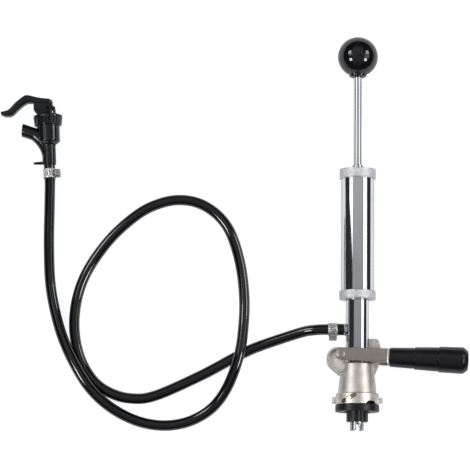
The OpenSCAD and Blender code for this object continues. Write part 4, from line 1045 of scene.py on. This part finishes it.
# Thumb lever: a soft-cornered bar between paired points of its two edges, on cheeks astride the stem
def makeThumbLever(look):
    top, under = (smoothPath(np.array(look[key], float), look["steps"]) for key in ("top", "under"))
    middle, reach = (top + under) / 2, (top - under) / 2
    fromEnd = np.minimum(np.arange(len(top)), np.arange(len(top))[::-1])
    close = np.sqrt(1 - (1 - np.clip(fromEnd / look["endRows"], look["endLeast"], 1)) ** 2)[:, None]
    angle = fullTurn(look["sides"])[None]
    tall = softened(np.sin(angle), look["power"]) * close
    wide = softened(np.cos(angle), look["power"]) * (look["endWide"] + (1 - look["endWide"]) * close)
    x, y = (middle[:, k:k + 1] + reach[:, k:k + 1] * tall for k in range(2))
    arm = np.stack([x, y, look["half"] * wide], -1)
    cheek, web = (evenOutline(np.array(look[key], float), look["passes"]) for key in ("cheek", "web"))
    fork, head, webHalf = look["fork"], look["head"], look["fork"] + look["webOverlap"]
    cheeks = [softPlate(cheek, low, high, look["cheekEdge"]) for low, high in ((fork, head), (-head, -fork))]
    plates = [arm, *cheeks, softPlate(web, -webHalf, webHalf, look["webEdge"])]
    patches = [patch(onFaucet(plate + np.array(look["pivot"])), lids=True) for plate in plates]
    makePiece("thumbLever", patches, "faucet_handle", tapSkin, ["faucet_lever"], sharp=50.0)


tapSpring = {"radius": 5.2, "wire": 0.5, "low": 31.55, "high": 47.55, "turns": 5, "lift": 3.49,
             "turnSteps": 24, "sides": 12}


# Closing spring: a wire wound round the stem, rising evenly with its turns
def makeTapSpring(look):
    share = np.linspace(0, 1, look["turns"] * look["turnSteps"] + 1)[:, None]
    turn = 2 * np.pi * look["turns"] * share
    angle = fullTurn(look["sides"])[None]
    radius = look["radius"] + look["wire"] * np.cos(angle)
    height = look["low"] + (look["high"] - look["low"]) * share + look["wire"] * np.sin(angle)
    wire = onFaucet(np.stack([radius * np.cos(turn), height, radius * np.sin(turn)], -1))
    spring = makePiece("tapSpring", [patch(wire, lids=True)],
                       "column", steel, ["faucet_spring"])
    top = look["high"] + look["wire"]
    anchor = onFaucet(np.array([0, top, 0])) * mm
    axis = placed(np.array([0.0, 1.0, 0.0]), faucetPlace["lean"], (0, 0, 0))
    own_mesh(spring)


makeTapBody(tapBody, tapSpout, tapFairing, tapPeg)
makeTapBonnet(tapBonnet, tapGuard)
makeThumbLever(thumbLever)
makeTapSpring(tapSpring)
print("faucet: body, bonnet, lever and spring made")

# Solids that stay as they are, each with its finish

keptSolids = {
    "coupler_body": nickel, "hinge_clip": pinSteel, "drive_pins": pinSteel,
    "grip_stud": pinSteel, "neck": chrome, "neck_rings": rubber, "probe": probeSteel, "outlet_barb": chrome,
    "check_ball": pinSteel, "barrel_gasket": rubber, "air_valve_seat": brass, "air_valve": rubber,
    "piston": brass, "piston_cup": leather, "piston_washer": brass, "piston_nut": steel, "knob_insert": brass,
    "pump_clamp_screw": hingeSteel, "faucet_clamp_screw": hingeSteel,
    "faucet_stem": tapSkin, "faucet_seal": rubber, "faucet_pin": pinSteel,
}
for name, material in keptSolids.items():
    cadNodes[name].data.materials.clear()
    cadNodes[name].data.materials.append(material)
print("solids: finished", len(keptSolids))

# Studio

studio = {
    "floor": -22.8, "floorHalf": 9000.0, "floorGlow": rgb(0.96, 0.97, 1.0), "floorBlue": 1.04,
    "seen": {"shade": 0.25, "glow": 0.93},  # the floor as the camera sees it
    "mirrored": {"shade": 0.70, "glow": 0.24},  # and as the metal shows it, darker close to the part
    # The white sheet under the part ends to its right, out of the picture
    "sheetEnd": (0.19, 0.21), "beyond": rgb(0.03, 0.03, 0.03),
    "roomGlow": rgb(0.97, 0.98, 1.0), "ceiling": 0.36, "gloom": 0.030,
    # Where it ends: radians from straight up, and the share of a direction that lies along the pump
    "ceilingSide": (0.57, 0.63), "ceilingEnd": (0.55, 0.9), "endLevel": 0.15,
    "climb": (0.09, 0.18), "climbLevels": (0.80, 1.22),  # the ceiling is brighter towards the knob's end
    "lamps": [  # place, width, length along the pump, brightness, turn about its aim
        ((-1060, -220, 1060), 420.0, 400.0, 15.0, 0.0), ((1085, -240, 1000), 420.0, 420.0, 15.0, 0.0),
        ((-990, 570, 990), 600.0, 360.0, 1.4, -9.0), ((1100, 380, 860), 700.0, 660.0, 1.4, 0.0),
        ((-980, 820, 866), 400.0, 400.0, 7.0, 0.0), ((1110, 830, 760), 400.0, 400.0, 7.0, 0.0)],
}


# Floor: one square, with one surface for the camera and one for the metal, and beyond the sheet a dark one
def makeFloor(look):
    half, level = look["floorHalf"], look["floor"]
    corners = np.array([(x * half, y * half, level) for x, y in ((-1, -1), (1, -1), (1, 1), (-1, 1))])
    mesh = bpy.data.meshes.new("paleFloor")
    mesh.from_pydata((corners * mm).tolist(), [], [(0, 1, 2, 3)])
    material, bench = newMaterial("paleFloor")
    camera = bench.add("LightPath", output="Is Camera Ray")
    glossy = bench.add("LightPath", output="Is Glossy Ray")
    mirror = glossy.math("MAXIMUM", bench.add("LightPath", output="Is Transmission Ray"))
    sides = []
    for kind, on in (("seen", camera), ("mirrored", mirror)):
        shade = look[kind]["shade"]
        matt = bench.add("BsdfDiffuse", {}, {"Color": rgb(shade, shade, shade * look["floorBlue"])})
        glow = bench.add("Emission", {}, {"Color": look["floorGlow"], "Strength": on * look[kind]["glow"]})
        sides.append(bench.add("AddShader", {}, {0: matt, 1: glow}))
    onSheet = bench.below(bench.axes()[0], look["sheetEnd"])
    beyond = bench.add("BsdfDiffuse", {}, {"Color": look["beyond"]})
    sides[1] = bench.add("MixShader", {}, {0: onSheet, 1: beyond, 2: sides[1]})
    both = bench.add("MixShader", {}, {0: mirror, 1: sides[0], 2: sides[1]})
    bench.add("OutputMaterial", {}, {"Surface": both})
    mesh.materials.append(material)
    floor = bpy.data.objects.new("paleFloor", mesh)
    scene.collection.objects.link(floor)


# Each softbox faces the pump's axis; its power is brightness times pi times its area
def makeLamps(look):
    for number, (place, width, length, bright, spin) in enumerate(look["lamps"]):
        data = bpy.data.lights.new("softbox%d" % number, "AREA")
        data.shape = "RECTANGLE"
        data.size, data.size_y = length * mm, width * mm  # the first side lies along the pump
        data.energy = bright * math.pi * data.size * data.size_y
        lamp = bpy.data.objects.new(data.name, data)
        lamp.location = Vector(place) * mm
        aim = Vector((place[0], 0.0, place[2]))
        lamp.rotation_euler = aim.to_track_quat("Z", "Y").to_euler()
        lamp.rotation_euler.rotate_axis("Z", math.radians(spin))
        scene.collection.objects.link(lamp)


# Room: a grey ceiling straight above, dark towards the sides, and white for the camera
def makeRoom(look):
    world = bpy.data.worlds.new("studioRoom")
    world.use_nodes = True
    scene.world = world
    bench = Bench(world.node_tree)
    aim = bench.add("TexCoord", output="Generated")
    x, y, z = (bench.add("SeparateXYZ", {}, {0: aim}, output=k) for k in range(3))
    side = x.math("ARCTAN2", z).math("ABSOLUTE")
    above = bench.below(side, look["ceilingSide"])
    above = above * bench.between(y.math("ABSOLUTE"), look["ceilingEnd"], 1.0, look["endLevel"])
    rise = bench.between(y, look["climb"], *look["climbLevels"])
    level = look["gloom"] + above * (look["ceiling"] * rise - look["gloom"])
    camera = bench.add("LightPath", output="Is Camera Ray")
    level = level * (1 - camera) + camera
    glow = bench.add("Background", {}, {"Color": look["roomGlow"], "Strength": level})
    bench.add("OutputWorld", {}, {"Surface": glow})


makeFloor(studio)
makeLamps(studio)
makeRoom(studio)
scene.view_settings.view_transform = "Standard"
print("studio: lit")
